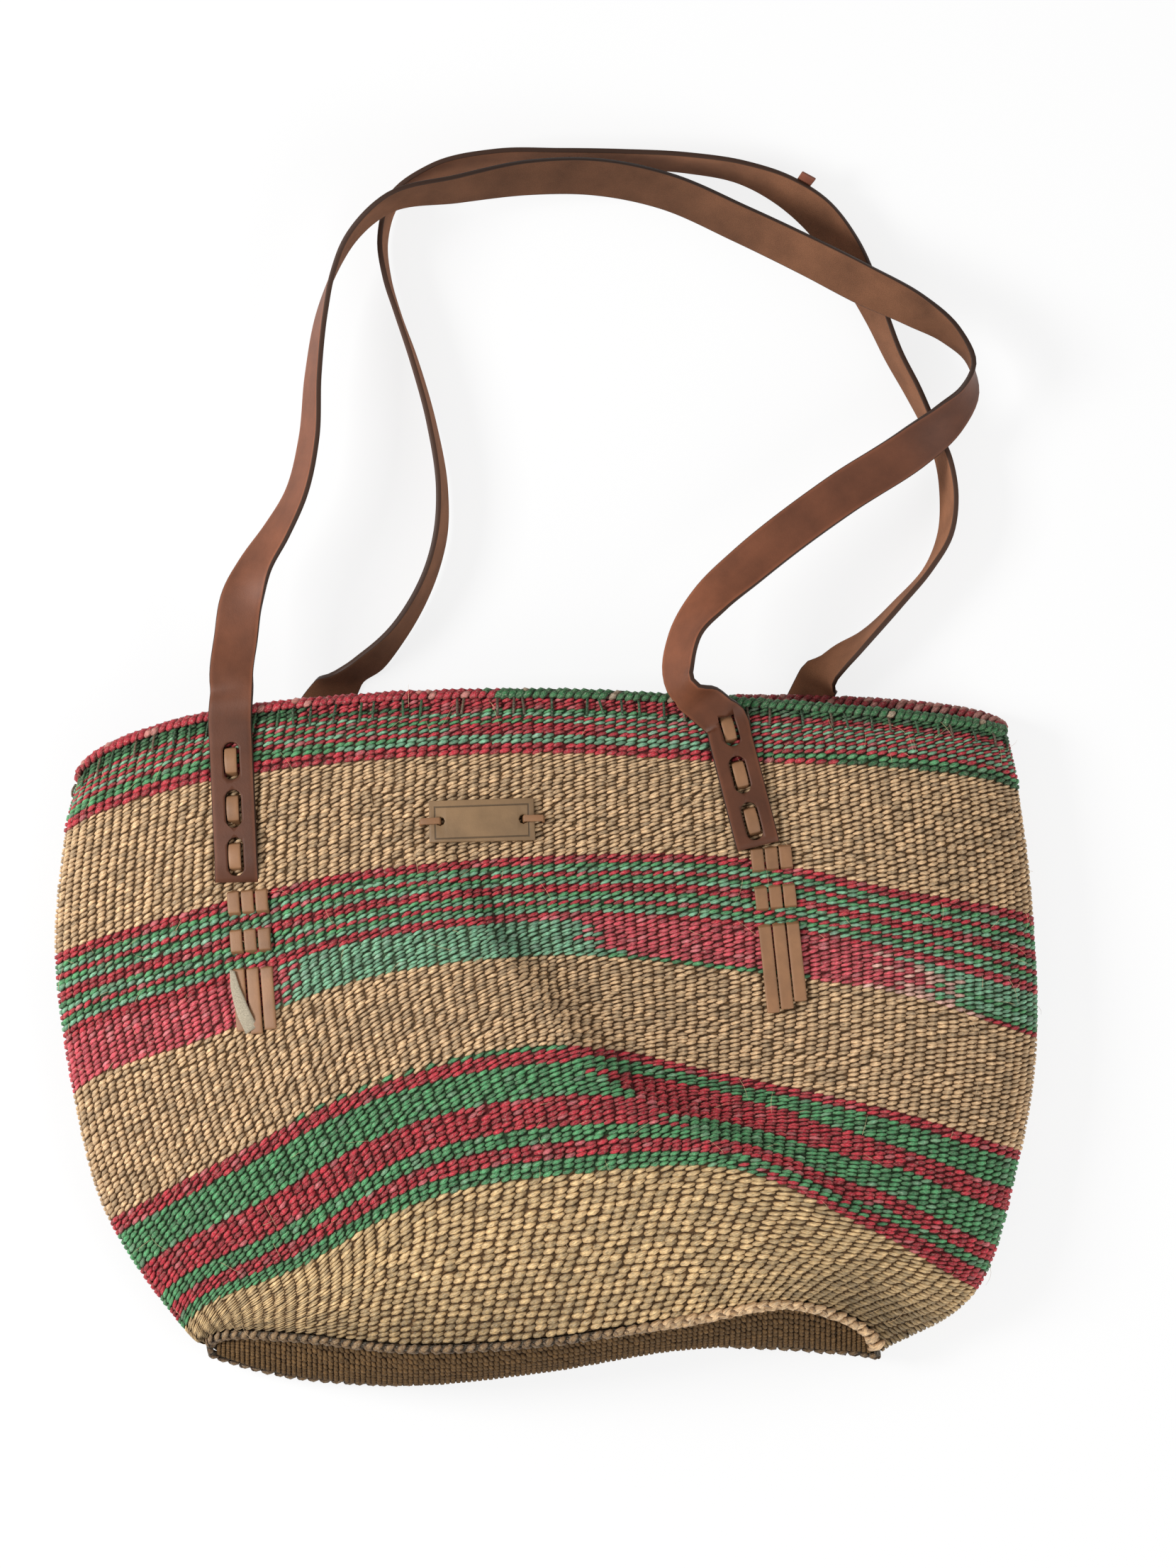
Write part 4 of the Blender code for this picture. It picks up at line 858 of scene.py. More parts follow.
base_columns = np.arccos(1 - 2 * np.linspace(*BASE_ENDS, BASE_ROWS)) * HALF_TURN / np.pi
row, stitch = cells(BASE_ROWS, BASE_STITCHES)
stray = draw.normal(0, 1, (len(row), 3))
share = (stitch + 0.5 + 0.1 * stray[:, 0]) / BASE_STITCHES
points, normal, first, second, depth = base_frames(base_columns[row], share)
tilt = np.radians(BASE_SLANT + 4 * stray[:, 1])[:, None]
along = square_to(unit(np.cos(tilt) * second + np.sin(tilt) * first), normal)
swell = 1 + 0.06 * stray[:, 2]
halves = np.stack([depth / BASE_STITCHES, swell, swell], axis=1) * BASE_GRAIN
colours = BASE_TINT * (0.74 + 0.36 * draw.random((len(row), 1)))
base_weave = grains("base_stitches", points - BASE_SEAT * normal, along, normal, halves, colours, BASE_DIVE)
base_weave.data.materials.append(yarn_finish("base yarn", 0.1, Roughness=0.75, Specular_IOR_Level=0.2))
row, step = cells(SHEET_COLUMNS, SHEET_STEPS)
column = np.linspace(*SHEET_ENDS, SHEET_COLUMNS)[row]
share = np.linspace(0, 1, SHEET_STEPS)[step]
points, normal = base_frames(column, share)[:2]
base_sheet = put_mesh("base_sheet", points - BASE_SHEET_SEAT * normal,
                      [grid_faces(SHEET_COLUMNS, SHEET_STEPS)])
# The sheet is seen only between the base's stitches: its dark colour is painted shade there.
put_colours(base_sheet, np.tile(BASE_TINT * 0.35, (len(points), 1)))
put_places(base_sheet, "strand", np.stack([column * 17, share * 15, 0 * share], axis=1))
thicker = base_sheet.modifiers.new("thickness", "SOLIDIFY")
thicker.thickness = BASE_THICKNESS - BASE_SHEET_SEAT
thicker.offset = -1.0 if base_sheet.data.polygons[0].normal.y < 0 else 1.0
base_sheet.data.materials.append(woven_inside)
for piece in (base_weave, base_sheet):
    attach(piece, "basket")
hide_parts("woven_base")


# The two shoulder straps: each is one band of vegetable-tanned leather, grain side out at the
# bag, that bends over the rim and twists as it lies. Both ends are flat tabs with three slots.
# An end has its side, its outer and inner end, bends, and where, how high and how tilted it flexes.
# A bend has its pixels and lean, and where the band lifts off the wall a roll and a slide too.
STRAP_WIDTH = 0.020
STRAP_THICKNESS = 0.0025
STRAP_ROUNDING = 0.55
RUBBED_FROM_TO = (0.40 * STRAP_WIDTH, 0.48 * STRAP_WIDTH)
RUBBED_PALER = 1.45
CUT_EDGE_FROM = 0.485 * STRAP_WIDTH
CUT_EDGE_WIDTH = 0.015 * STRAP_WIDTH
STRAP_REACH = 0.2408
REACH_PIXELS = 747
HINGE_PIXEL = 955
HINGE_BEYOND_RIM = 0.003
TAB_STATION = 0.009
PROBE_SHARE = 0.62
SLOT_LENGTH = 0.0177
SLOT_WIDTH = 0.0075
SLOT_PITCH = 0.0216
SLOT_TO_TAB_END = 0.0119
STRAP_STEP = 0.0028
STRAP_ENDS = {
    "front_left": (1, (336.5, 1245), (325.5, 1020), ((326.5, 992, 2), (327.5, 974, 2)), 327.5, 2.02, 0.0),
    "front_right": (1, (1069, 1194), (1024, 1018), ((1017, 1007, -22, 12, -7), (1004, 993, -36, 32, -15),
                                                    (988, 978, -42, 48, -18)), 958, 2.56, 52.0),
    "back_left": (-1, (352, 1240), (428, 1036),
                  ((433, 1027, 23), (439, 1016, 27), (447, 1003, 32), (461, 985, 38)), 491, 0.33, -38.0),
    "back_right": (-1, (1049, 1240), (1122, 1036),
                   ((1130, 1014, 22), (1137, 999, 24), (1144, 985, 26), (1151, 971, 28)), 1160, 0.34, 36.0),
}
STRAP_ROUTES = {
    "front": (
        (334, 900, 1.92, 4), (341, 850, 1.84, 14), (360, 800, 1.76, 42), (391, 750, 1.70, 54),
        (417, 700, 1.64, 62), (436, 620, 1.58, 66), (442, 530, 1.54, 72), (455, 440, 1.52, 80),
        (471, 385, 1.54, 90), (495, 337, 1.60, 98), (548, 288, 1.68, 108), (646, 267, 1.52, 122),
        (750, 250, 1.32, 136), (840, 249, 1.20, 141), (940, 269, 1.14, 141), (1045, 315, 1.16, 143),
        (1146, 364, 1.30, 147), (1219, 402, 1.42, 150), (1290, 437, 1.42, 136), (1342, 472, 1.38, 114),
        (1371, 512, 1.34, 94), (1368, 552, 1.32, 66), (1338, 592, 1.32, 38), (1290, 631, 1.34, 14),
        (1188, 697, 1.42, -6), (1055, 798, 1.70, -20), (1002, 846, 1.92, -34), (965, 900, 2.30, -50)),
    "back": (
        (526, 930, 0.46, 121), (554, 900, 0.49, 112), (586, 852, 0.52, 106), (609, 800, 0.54, 103),
        (621, 750, 0.54, 102), (623, 690, 0.54, 99), (609, 600, 0.53, 96), (581, 500, 0.53, 94),
        (560, 440, 0.53, 92), (545, 390, 0.53, 94), (539, 335, 0.53, 97), (556, 278, 0.53, 101),
        (610, 241, 0.53, 106), (700, 222, 0.53, 110), (790, 221, 0.53, 110), (880, 222, 0.53, 109),
        (970, 227, 0.53, 110), (1050, 241, 0.52, 115), (1110, 267, 0.48, 130), (1153, 299, 0.42, 142),
        (1190, 346, 0.42, 140), (1220, 402, 0.46, 128), (1240, 447, 0.50, 116), (1263, 500, 0.53, 109),
        (1290, 550, 0.53, 106), (1313, 598, 0.53, 102), (1334, 650, 0.53, 106), (1341, 702, 0.53, 108),
        (1336, 752, 0.53, 104), (1313, 800, 0.53, 95), (1270, 850, 0.53, 97), (1221, 900, 0.53, 105),
        (1184, 930, 0.48, 122)),
}
# The tone along each strap, by shares of its length: partly the leather's own darker and lighter stretches,
# partly painted light and shade where the strap turns towards or away from the light.
STRAP_TONE_AND_LIGHT = {
    "front": ((0, 0.6), (0.08, 0.6), (0.1, 0.85), (0.14, 1), (0.2, 1.12), (0.27, 1.15), (0.34, 0.95),
              (0.41, 0.5), (0.49, 0.5), (0.58, 0.82), (0.72, 0.7), (0.8, 0.88), (0.88, 1.35), (0.91, 1.05),
              (0.93, 0.65), (1, 0.62)),
    "back": ((0, 1), (0.17, 0.87), (0.23, 1.1), (0.31, 1.4), (0.36, 1.2), (0.47, 0.95), (0.67, 0.85),
             (0.77, 1.35), (0.85, 1.15), (1, 1)),
}


def on_bag(pixels):
    """A place on the bag's plan in the model's frame."""
    return bag_place(pixels) + BAG_CORNER[:2]


def strap_place(across, down, lift_share):
    """A place of the strap from its pixel above the hinge line and its height in strap widths."""
    x = BAG_WIDTH * (across - LEFT_PIXEL) / WIDTH_PIXELS
    up = STRAP_REACH * (HINGE_PIXEL - down) / REACH_PIXELS
    return np.array([x, HINGE_BEYOND_RIM + up, lift_share * STRAP_WIDTH]) + BAG_CORNER


def node_tree(name):
    """A search tree over one CAD node's faces."""
    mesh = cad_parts[name].data
    return BVHTree.FromPolygons([vertex.co for vertex in mesh.vertices],
                                [tuple(face.vertices) for face in mesh.polygons])


def tab_stops(key):
    """Middle line and half width directions of a tab from its outer end to the hinge, found by
    looking straight down on its CAD node beside the slots, and where the strap flexes."""
    side, end, top, bends, across, lift_share, tilt = STRAP_ENDS[key]
    tree = node_tree(f"{key.replace('_', '_strap_')}_end")
    start = on_bag(end)
    run = on_bag(top) - start
    length = float(np.linalg.norm(run))
    beside = np.array([run[1], -run[0]]) / length
    stops = [(start + max(share, 0.004) * run, beside, 0.0, 0.0)
             for share in np.linspace(0, 1, round(length / TAB_STATION) + 1)]
    for bend_across, bend_down, lean, *lifted in bends:
        angle = math.radians(lean)
        roll, slide = lifted or (0.0, 0.0)
        stops.append((on_bag((bend_across, bend_down)), np.array([math.cos(angle), -math.sin(angle)]),
                      math.radians(roll), BAG_WIDTH * slide / WIDTH_PIXELS))
    centres, widths = [], []
    for place, beside, roll, slide in stops:
        hits = []
        for way in (-1, 1):
            spot = place + way * PROBE_SHARE * STRAP_WIDTH / 2 * beside
            hits.append(tree.ray_cast(Vector((*spot, side * 0.5)), Vector((0, 0, -side)))[0])
        if None in hits:
            continue
        hits = np.array(hits)
        width = unit(hits[1] - hits[0])
        normal = np.cross(width, np.array([-beside[1], beside[0], 0.0]))
        normal = unit(normal * side * (1 if normal[2] > 0 else -1))
        raised = math.sin(roll) * STRAP_WIDTH / 2
        centres.append(hits.mean(axis=0) + normal * (raised - STRAP_THICKNESS / 2) + np.array([slide, 0, 0]))
        widths.append(math.cos(roll) * width + math.sin(roll) * normal)
    angle = math.radians(tilt)
    centres.append(strap_place(across, HINGE_PIXEL, lift_share))
    widths.append(np.array([math.cos(angle), 0.0, math.sin(angle)]))
    return centres, widths


def strap_line(side):
    """The whole strap as stops from one tab's end to the other's: middle, half width direction.
    Over the loop the width turns about the strap's own length by the angle of the route."""
    near_centres, near_widths = tab_stops(f"{side}_left")
    far_centres, far_widths = tab_stops(f"{side}_right")
    loop = [strap_place(*stop[:3]) for stop in STRAP_ROUTES[side]]
    along = unit(np.gradient(np.array([near_centres[-1], *loop, far_centres[-1]]), axis=0))[1:-1]
    flat = unit(np.stack([along[:, 1], -along[:, 0], np.zeros(len(along))], axis=1))
    angle = np.radians([stop[3] for stop in STRAP_ROUTES[side]])[:, None]
    turned = np.cos(angle) * flat + np.sin(angle) * unit(np.cross(flat, along))
    if side == "back":
        near_widths = [-width for width in near_widths]
    widths = np.array([*near_widths, *turned, *far_widths[::-1]])
    for index in range(1, len(widths)):
        if np.dot(widths[index], widths[index - 1]) < 0:
            widths[index] *= -1
    return np.array([*near_centres, *loop, *far_centres[::-1]]), widths


def smooth_run(points, stations, at):
    """Points of a smooth curve through stations that are unevenly apart: cubic pieces whose
    slopes are the weighted mean of the two steps beside each station."""
    steps = np.diff(stations)
    slopes = np.diff(points, axis=0) / steps[:, None]
    both = (steps[1:] + steps[:-1])[:, None]
    inner = (slopes[:-1] * steps[1:, None] + slopes[1:] * steps[:-1, None]) / both
    tangents = np.concatenate([slopes[:1], inner, slopes[-1:]])
    cell = np.clip(np.searchsorted(stations, at, side="right") - 1, 0, len(steps) - 1)
    span = steps[cell][:, None]
    part = ((at - stations[cell]) / steps[cell])[:, None]
    return ((2 * part**3 - 3 * part**2 + 1) * points[cell]
            + (part**3 - 2 * part**2 + part) * span * tangents[cell]
            + (3 * part**2 - 2 * part**3) * points[cell + 1]
            + (part**3 - part**2) * span * tangents[cell + 1])


def band_profile():
    """Outline of the strap, a flat band with rounded edges: two faces joined by quarter arcs."""
    radius = STRAP_THICKNESS / 2 * STRAP_ROUNDING
    corner = STRAP_WIDTH / 2 - radius
    face = np.linspace(-corner, corner, 9)
    arc = np.radians([67.5, 45, 22.5, -22.5, -45, -67.5])
    level = np.sign(arc) * (STRAP_THICKNESS / 2 - radius)
    upper = np.stack([face, np.full(len(face), STRAP_THICKNESS / 2)], axis=1)
    right = np.stack([corner + radius * np.cos(arc), level + radius * np.sin(arc)], axis=1)
    return np.concatenate([upper, right, -upper, -right])


def slot_profile():
    """Outline of a slot with half-round ends."""
    radius = SLOT_WIDTH / 2
    angle = np.pi * (np.arange(9) / 8 - 0.5)
    half = np.stack([SLOT_LENGTH / 2 - radius + radius * np.cos(angle), radius * np.sin(angle)], axis=1)
    return np.concatenate([half, -half])


def mark_hide(piece, centres, alongs, widths, normals, way, tones_and_light):
    """For each point of a band, the way along it, the way across it, and the face it is on: the
    height over the nearest station's middle in half thicknesses, and none on the cut edges. The
    leather's tone, partly its own and partly painted light and shade, is read off between the
    given shares of the way along."""
    spots = spots_of(piece)
    nearest = np.linalg.norm(spots[:, None] - centres[None], axis=2).argmin(axis=1)
    offset = spots - centres[nearest]
    across = np.sum(offset * widths[nearest], axis=1)
    height = np.sum(offset * normals[nearest], axis=1) / (STRAP_THICKNESS / 2)
    inside = np.clip((CUT_EDGE_FROM - np.abs(across)) / CUT_EDGE_WIDTH, 0, 1)
    along = way[nearest] + np.sum(offset * alongs[nearest], axis=1)
    put_places(piece, "hide", np.stack([along, across, np.clip(height, -1, 1) * inside], axis=1))
    tone_and_light = piece.data.attributes.new("tone_and_light", "FLOAT", "POINT")
    tone_and_light.data.foreach_set("value", np.interp(along / way[-1], *np.array(tones_and_light).T).astype(np.float32))


# Leather, shared by straps, laces and label: fine pores over a tone that drifts, with the flesh
# side paler and woolly and the cut edges dark.
hide_tree, hide_in, hide_out = effect(
    "tanned hide",
    (("Place", "Vector"), ("Grain", "Color"), ("Flesh", "Color"), ("Edge", "Color"), ("Face", "Float", 1.0)),
    (("Color", "Color"), ("Height", "Float"), ("Roughness", "Float")))
drift = noise(hide_tree, hide_in["Place"], 45.0, 5.0, Roughness=0.6)
drift = spread(hide_tree, drift, 0.25, 0.75, 0.68, 1.30)
pores = step_node(hide_tree, "TexVoronoi", Vector=hide_in["Place"], Scale=1500.0).outputs["Distance"]
nap = noise(hide_tree, hide_in["Place"], 2600.0, 2.0)
woolly = arithmetic(hide_tree, "MULTIPLY", spread(hide_tree, nap, 0.3, 0.7, 0.78, 1.22), drift)
on_grain = spread(hide_tree, hide_in["Face"], 0.15, 0.6)
on_flesh = spread(hide_tree, hide_in["Face"], -0.15, -0.6)
grain_side = mixed(hide_tree, on_grain, hide_in["Edge"], scaled(hide_tree, hide_in["Grain"], drift))
both_sides = mixed(hide_tree, on_flesh, grain_side, scaled(hide_tree, hide_in["Flesh"], woolly))
nap_height = arithmetic(hide_tree, "MULTIPLY", nap, on_flesh)
feed(hide_tree, hide_out["Color"], both_sides)
feed(hide_tree, hide_out["Height"], arithmetic(hide_tree, "MULTIPLY_ADD", pores, 0.4, nap_height))
feed(hide_tree, hide_out["Roughness"], spread(hide_tree, on_flesh, 0.0, 1.0, 0.55, 0.92))


def leather(name, grain, flesh, edge, marked=False, **plain):
    """A leather finish: the hide effect on the piece's own places where it is marked, or else on
    Object coordinates. The places are the way along, the way across and the face a point is on,
    and the grain is rubbed paler in the last fifth of the way to each edge."""
    made, tree, shader = finish_of(name, **plain)
    inputs = {"Grain": (*grain, 1), "Flesh": (*flesh, 1), "Edge": (*edge, 1)}
    if marked:
        inputs["Place"] = from_mesh(tree, "hide")
        _, across, inputs["Face"] = step_node(tree, "SeparateXYZ", inputs["Place"]).outputs
        rubbed = spread(tree, arithmetic(tree, "ABSOLUTE", across), *RUBBED_FROM_TO, 1.0, RUBBED_PALER)
        inputs["Grain"] = scaled(tree, tuple(grain), rubbed)
    else:
        inputs["Place"] = step_node(tree, "TexCoord").outputs["Object"]
    hide = step_node(tree, "Group", setting=("node_tree", hide_tree), **inputs).outputs
    # Marked pieces are scaled by their tone along the strap: partly the leather's own, partly painted light and
    # shade.
    colour = scaled(tree, hide["Color"], from_mesh(tree, "tone_and_light", "Fac")) if marked else hide["Color"]
    cover(tree, shader, colour, hide["Height"], 0.35, 0.0002)
    feed(tree, shader.inputs["Roughness"], hide["Roughness"])
    return made


strap_leather = leather("strap leather", tint(112, 66, 44), tint(126, 84, 59), tint(62, 40, 28), True,
                        Specular_IOR_Level=0.3)
for side in ("front", "back"):
    centres, widths = strap_line(side)
    stations = np.concatenate([[0], np.cumsum(np.linalg.norm(np.diff(centres, axis=0), axis=1))])
    at = np.linspace(0, stations[-1], round(stations[-1] / STRAP_STEP))
    line = smooth_run(centres, stations, at)
    along = unit(np.gradient(line, axis=0))
    width = square_to(smooth_run(widths, stations, at), along)
    normal = np.cross(width, along)
    strap = carried(f"{side}_strap", line, width, normal, band_profile())
    for end in ("left", "right"):
        start, top = (on_bag(pixels) for pixels in STRAP_ENDS[f"{side}_{end}"][1:3])
        for slot in (2, 1, 0):
            place = start + unit(top - start) * (SLOT_TO_TAB_END + slot * SLOT_PITCH)
            nearest = np.linalg.norm(line[:, :2] - place, axis=1).argmin()
            run, across, out = along[nearest], width[nearest], normal[nearest]
            spot = line[nearest] + run * np.dot(place - line[nearest, :2], run[:2])
            through = spot + STRAP_THICKNESS * np.stack([-out, out])
            cutter = carried("slot", through, np.stack([run] * 2), np.stack([across] * 2), slot_profile())
            hole = strap.modifiers.new("slot", "BOOLEAN")
            hole.solver = "EXACT"
            hole.object = cutter
            cut = strap.evaluated_get(bpy.context.evaluated_depsgraph_get())
            mesh = bpy.data.meshes.new_from_object(cut)
            strap.modifiers.clear()
            strap.data = mesh
            mesh.name = f"{side}_strap"
            bpy.data.objects.remove(cutter)
    mark_hide(strap, line, along, width, normal, at, STRAP_TONE_AND_LIGHT[side])
    strap.data.materials.clear()
    strap.data.materials.append(strap_leather)
    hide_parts(f"{side}_strap_left_end", f"{side}_strap_loop", f"{side}_strap_right_end")
    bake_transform(strap)


# Laces: three flat thongs at each strap end. Each comes up through its slot, dives into the
# weave again, is stitched twice through the wall below the tab and ends in a loose tail.
LACE_ROUNDING = 0.0006
thong_leather = leather("thong leather", tint(142, 101, 68), tint(168, 150, 126), tint(120, 86, 58))


def soften(node, name, edge):
    """A copy of a CAD node with its doubles merged and its long edges rounded."""
    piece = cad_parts[node].copy()
    piece.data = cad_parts[node].data.copy()
    piece.parent = None
    for key in list(piece.keys()):
        del piece[key]
    piece.name = name
    bpy.context.scene.collection.objects.link(piece)
    build = bmesh.new()
    build.from_mesh(piece.data)
    bmesh.ops.remove_doubles(build, verts=build.verts, dist=0.00002)
    bmesh.ops.join_triangles(build, faces=build.faces, angle_face_threshold=0.3, angle_shape_threshold=1.5)
    for face in build.faces:
        face.smooth = True
    build.to_mesh(piece.data)
    build.free()
    rounding = piece.modifiers.new("rounded edges", "BEVEL")
    rounding.width = edge
    rounding.segments = 2
    rounding.angle_limit = math.radians(50)
    piece.data.materials.clear()
    return piece


for side in ("front", "back"):
    for end in ("left", "right"):
        for number in (1, 2, 3):
            node = f"{side}_{end}_thong_{number}"
            thong = soften(node, f"{node}_lace", LACE_ROUNDING)
            ease = thong.modifiers.new("eased bends", "SUBSURF")
            ease.levels = 1
            ease.render_levels = 1
            thong.data.materials.append(thong_leather)
            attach(thong, "basket")
            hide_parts(node)


# The label and the short tongue under the back strap: small cuts of undyed leather. The label
# is bare but for one line pressed round its border, and a narrow thong holds each end.
LABEL_PIXEL = (681, 1158.5)
LABEL_TURN = math.radians(-2)
LABEL_HALVES = (0.0475 / 2, 0.0195 / 2)
LINE_INSET = 0.0026
CUT_ROUNDING = 0.0005
TIE_ROUNDING = 0.0003
label_leather = leather("label leather", tint(132, 104, 73), tint(170, 150, 120), tint(120, 96, 70))
tree = label_leather.node_tree
shader_in = tree.nodes["Principled BSDF"].inputs
moved = step_node(tree, "Mapping", step_node(tree, "TexCoord").outputs["Object"], (*on_bag(LABEL_PIXEL), 0),
                  (0, 0, -LABEL_TURN), setting=("vector_type", "TEXTURE"))
away = step_node(tree, "VectorMath", moved.outputs[0], setting=("operation", "ABSOLUTE")).outputs[0]
beyond = [arithmetic(tree, "SUBTRACT", part, half - LINE_INSET)
          for part, half in zip(step_node(tree, "SeparateXYZ", away).outputs, LABEL_HALVES)]
off_line = arithmetic(tree, "ABSOLUTE", arithmetic(tree, "MAXIMUM", *beyond))
groove = spread(tree, off_line, 0.00018, 0.00042)
plain_hide = shader_in["Base Color"].links[0].from_socket
pressed = scaled(tree, plain_hide, spread(tree, groove, 0.0, 1.0, 0.45, 1.0))
line_bump = step_node(tree, "Bump", Strength=0.8, Distance=0.0004, Height=groove,
                      Normal=shader_in["Normal"].links[0].from_socket)
feed(tree, shader_in["Base Color"], pressed)
feed(tree, shader_in["Normal"], line_bump.outputs[0])
label = soften("label_tag", "label", CUT_ROUNDING)
label.data.materials.append(label_leather)
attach(label, "basket")
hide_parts("label_tag")
for end in ("left", "right"):
    tie = soften(f"label_thong_{end}", f"label_tie_{end}", TIE_ROUNDING)
    tie.data.materials.append(thong_leather)
    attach(tie, "basket")
    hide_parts(f"label_thong_{end}")
tongue_leather = leather("tongue leather", tint(132, 76, 56), tint(150, 112, 84), tint(96, 58, 40))
tongue = soften("strap_patch", "strap_tongue", CUT_ROUNDING)
tongue.data.materials.append(tongue_leather)
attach(tongue, "back_strap")
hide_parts("strap_patch")


# The outermost tail on the left has curled over, so that its woolly grey flesh side shows.
FLAP_LEFT = ((328, 1366), (329, 1390), (333, 1410), (340, 1433), (351, 1456))
FLAP_RIGHT = ((334, 1369), (341, 1390), (349, 1408), (356, 1424), (367, 1446))
FLAP_THICKNESS = 0.0012
FLAP_CURL = 0.0010
FLAP_ROWS = 17
FLAP_COLUMNS = 7
SUEDE_TINT = tint(176, 164, 142)
down = np.linspace(0, len(FLAP_LEFT) - 1, FLAP_ROWS)
spread_out = np.linspace(0, 1, FLAP_COLUMNS)
left, right = (np.stack([np.interp(down, np.arange(len(side)), axis) for axis in on_bag(side).T], axis=1)
               for side in (FLAP_LEFT, FLAP_RIGHT))
flap_points = np.zeros((FLAP_ROWS, FLAP_COLUMNS, 3))
flap_points[..., :2] = left[:, None] + spread_out[None, :, None] * (right - left)[:, None]
under = [node_tree("front_left_thong_1"), node_tree("woven_wall")]
rests = []
for place in flap_points[:, FLAP_COLUMNS // 2, :2]:
    hits = [tree.ray_cast(Vector((*place, 0.5)), Vector((0, 0, -1)))[0] for tree in under]
    rests.append(max(hit.z for hit in hits if hit is not None))
growing = np.linspace(0.5, 1.2, FLAP_ROWS)[:, None]
curl = FLAP_CURL * np.sin(np.pi * (spread_out * 0.62 + 0.08))[None] * growing
flap_points[..., 2] = np.array(rests)[:, None] + FLAP_THICKNESS / 2 + curl
flap = put_mesh("tail_flap", flap_points.reshape(-1, 3), [grid_faces(FLAP_ROWS, FLAP_COLUMNS)])
thicker = flap.modifiers.new("thickness", "SOLIDIFY")
thicker.thickness = FLAP_THICKNESS
thicker.offset = 0
suede, tree, shader = finish_of("grey suede", Roughness=0.95, Base_Color=(*SUEDE_TINT, 1))
wool = noise(tree, step_node(tree, "TexCoord").outputs["Object"], 1800.0, 3.0)
woolly = scaled(tree, tuple(SUEDE_TINT), spread(tree, wool, 0.3, 0.7, 0.7, 1.15))
cover(tree, shader, woolly, wool, 0.6, 0.0003)
flap.data.materials.append(suede)
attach(flap, "basket")


# Stray fibres: sisal is stiff and hairy, and pale single fibres stand out of the twist all over.
FIBRE_COUNT = 240
FIBRE_STEPS = 7
FIBRE_RADIUS = 0.00009
FIBRE_LENGTHS = (0.004, 0.013)
FIBRE_RISES = (0.0008, 0.0026)
FIBRE_ROOT_DEPTH = 0.0006
FIBRE_TAPER = 0.6
turn = draw.uniform(0.2, 7.8, FIBRE_COUNT)
fall = draw.uniform(0.02, 5.9, FIBRE_COUNT)
roots, normal, across, down, _ = bag_frames(turn, fall)
bearing = draw.uniform(0, 2 * np.pi, FIBRE_COUNT)[:, None]
heading = np.cos(bearing) * across + np.sin(bearing) * down
beside = np.cross(normal, heading)[:, None]
reach = draw.uniform(*FIBRE_LENGTHS, FIBRE_COUNT)[:, None, None]
bend = draw.normal(0, 0.25, FIBRE_COUNT)[:, None, None]
rise = draw.uniform(*FIBRE_RISES, FIBRE_COUNT)[:, None, None]
way = np.linspace(0, 1, FIBRE_STEPS)[None, :, None]
lines = (roots[:, None] + reach * way * heading[:, None] + reach * bend * way**2 * beside
         + (rise * np.sin(np.pi * way * 0.8) - FIBRE_ROOT_DEPTH) * normal[:, None])
ring = circle(FIBRE_RADIUS, 3)
rings = ring[:, :1] * beside + ring[:, 1:] * normal[:, None]
fibre_points = lines[:, :, None] + (1 - FIBRE_TAPER * way)[..., None] * rings[:, None]
root = np.arange(FIBRE_COUNT)[:, None, None] * FIBRE_STEPS * 3
sides = (root + grid_faces(FIBRE_STEPS, 3, closed_columns=True)).reshape(-1, 4)
tips = (root + np.array([[2, 1, 0], np.arange(3) + 3 * (FIBRE_STEPS - 1)])).reshape(-1, 3)
stray_fibres = put_mesh("stray_fibres", fibre_points.reshape(-1, 3), [sides, tips])
turned_out(stray_fibres)
dress(stray_fibres, YARNS["n"] * 1.15)
stray_fibres.data.materials.append(sisal_yarn)
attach(stray_fibres, "basket")


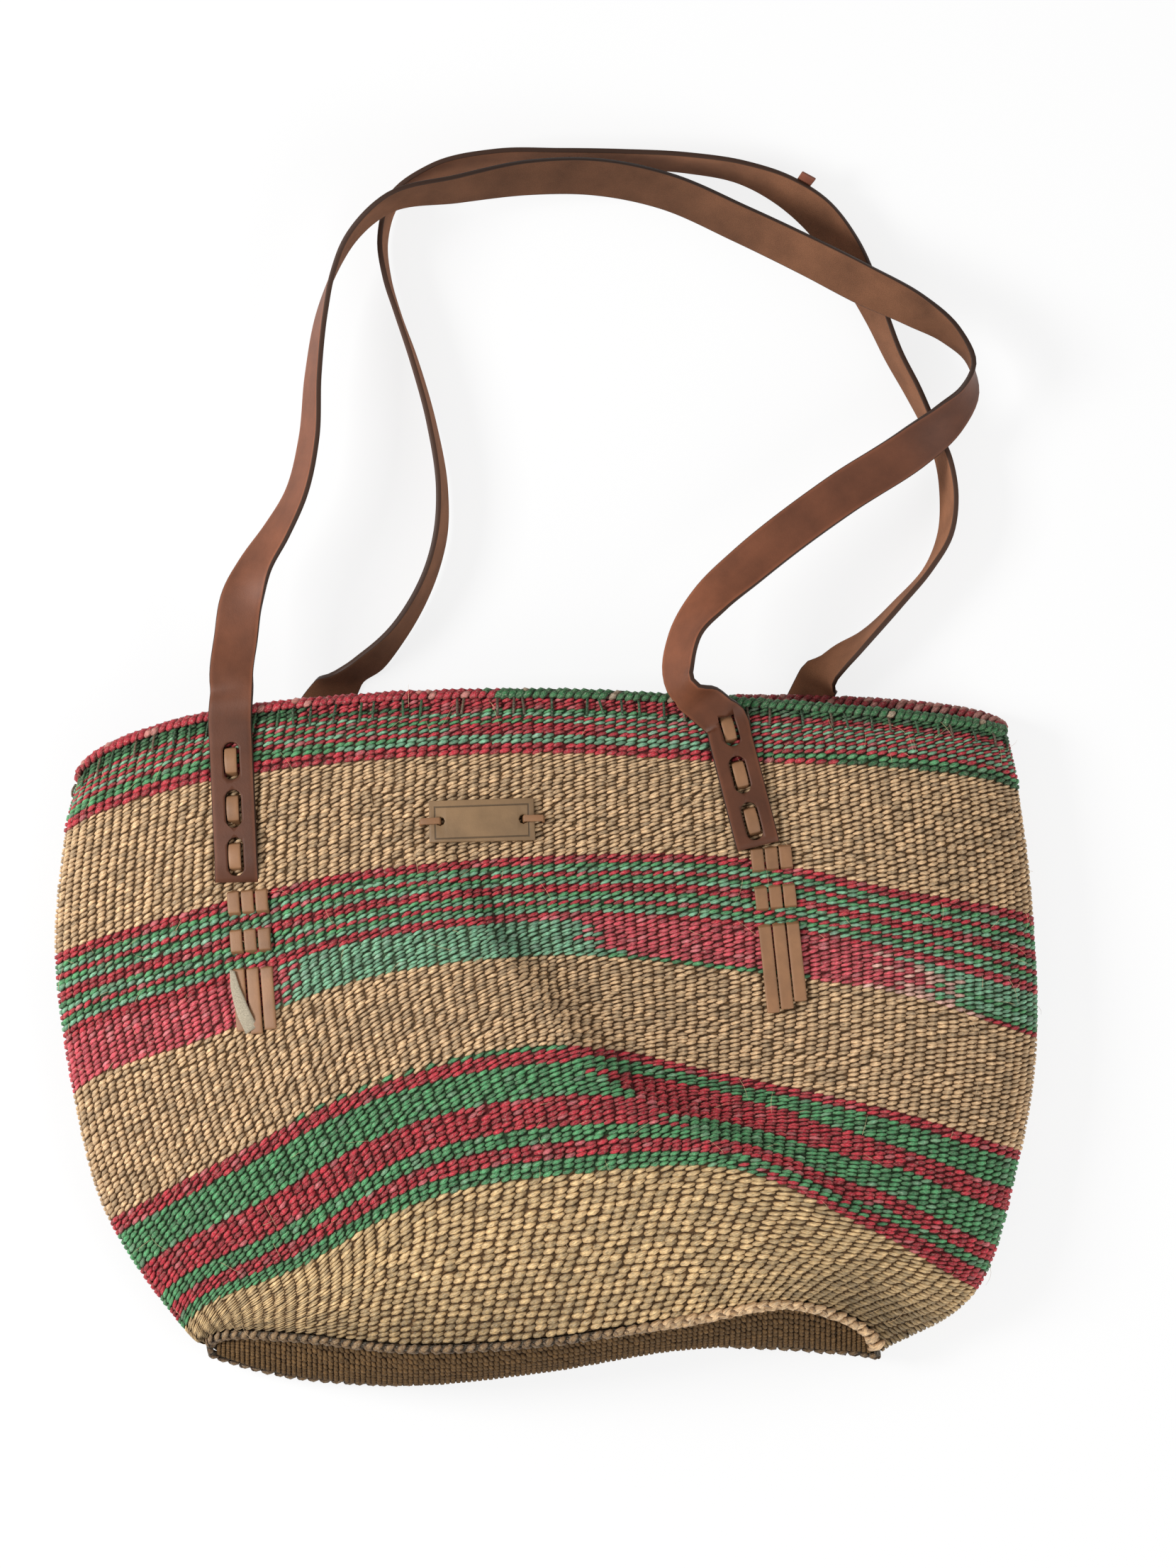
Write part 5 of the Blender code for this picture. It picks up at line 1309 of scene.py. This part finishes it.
# The white table, the soft studio light from the upper left and the camera straight above.
TABLE_REACH = 20.0
TABLE_GLOW = 0.82
WORLD_LIGHT = 0.42
LAMPS = (("soft box", (-1.5, 0.15, 1.2), 0.7, 34.0), ("fill", (1.25, -0.9, 1.15), 1.2, 14.0))
CAMERA_HEIGHT = 5.0
CAMERA_PLACE = (0.0189, -0.0068, CAMERA_HEIGHT)
FRAME_HEIGHT = 0.7131
FRAME_LEVEL = 0.03
table = put_mesh("table", TABLE_REACH * np.array([[-1, -1, 0], [1, -1, 0], [1, 1, 0], [-1, 1, 0]]),
                 [np.array([[0, 1, 2, 3]])])
white, tree, shader = finish_of("white table", Roughness=0.9, Base_Color=(0.9, 0.9, 0.9, 1))
glow = step_node(tree, "Emission", Color=(1, 1, 1, 1), Strength=1.0)
path = step_node(tree, "LightPath").outputs
seen = arithmetic(tree, "MAXIMUM", path["Is Camera Ray"], path["Is Glossy Ray"])
seen = arithmetic(tree, "MAXIMUM", seen, path["Is Transmission Ray"])
glowing = arithmetic(tree, "MULTIPLY", seen, TABLE_GLOW)
lit = step_node(tree, "MixShader", glowing, shader.outputs[0], glow.outputs[0])
feed(tree, tree.nodes["Material Output"].inputs["Surface"], lit.outputs[0])
table.data.materials.append(white)

world = bpy.data.worlds.new("studio")
world.use_nodes = True
world.node_tree.nodes["Background"].inputs["Color"].default_value = (1, 1, 1, 1)
world.node_tree.nodes["Background"].inputs["Strength"].default_value = WORLD_LIGHT
bpy.context.scene.world = world
for name, place, size, power in LAMPS:
    lamp = bpy.data.lights.new(name, "AREA")
    lamp.size = size
    lamp.energy = power
    box = bpy.data.objects.new(name, lamp)
    box.location = place
    box.rotation_euler = (-Vector(place)).to_track_quat("-Z", "Y").to_euler()
    bpy.context.scene.collection.objects.link(box)

lens = bpy.data.cameras.new("camera")
lens.sensor_width = 36
lens.lens = lens.sensor_width * (CAMERA_HEIGHT - FRAME_LEVEL) / FRAME_HEIGHT
camera = bpy.data.objects.new("camera", lens)
camera.location = CAMERA_PLACE
bpy.context.scene.collection.objects.link(camera)
bpy.context.scene.camera = camera
bpy.context.scene.view_settings.view_transform = "Standard"
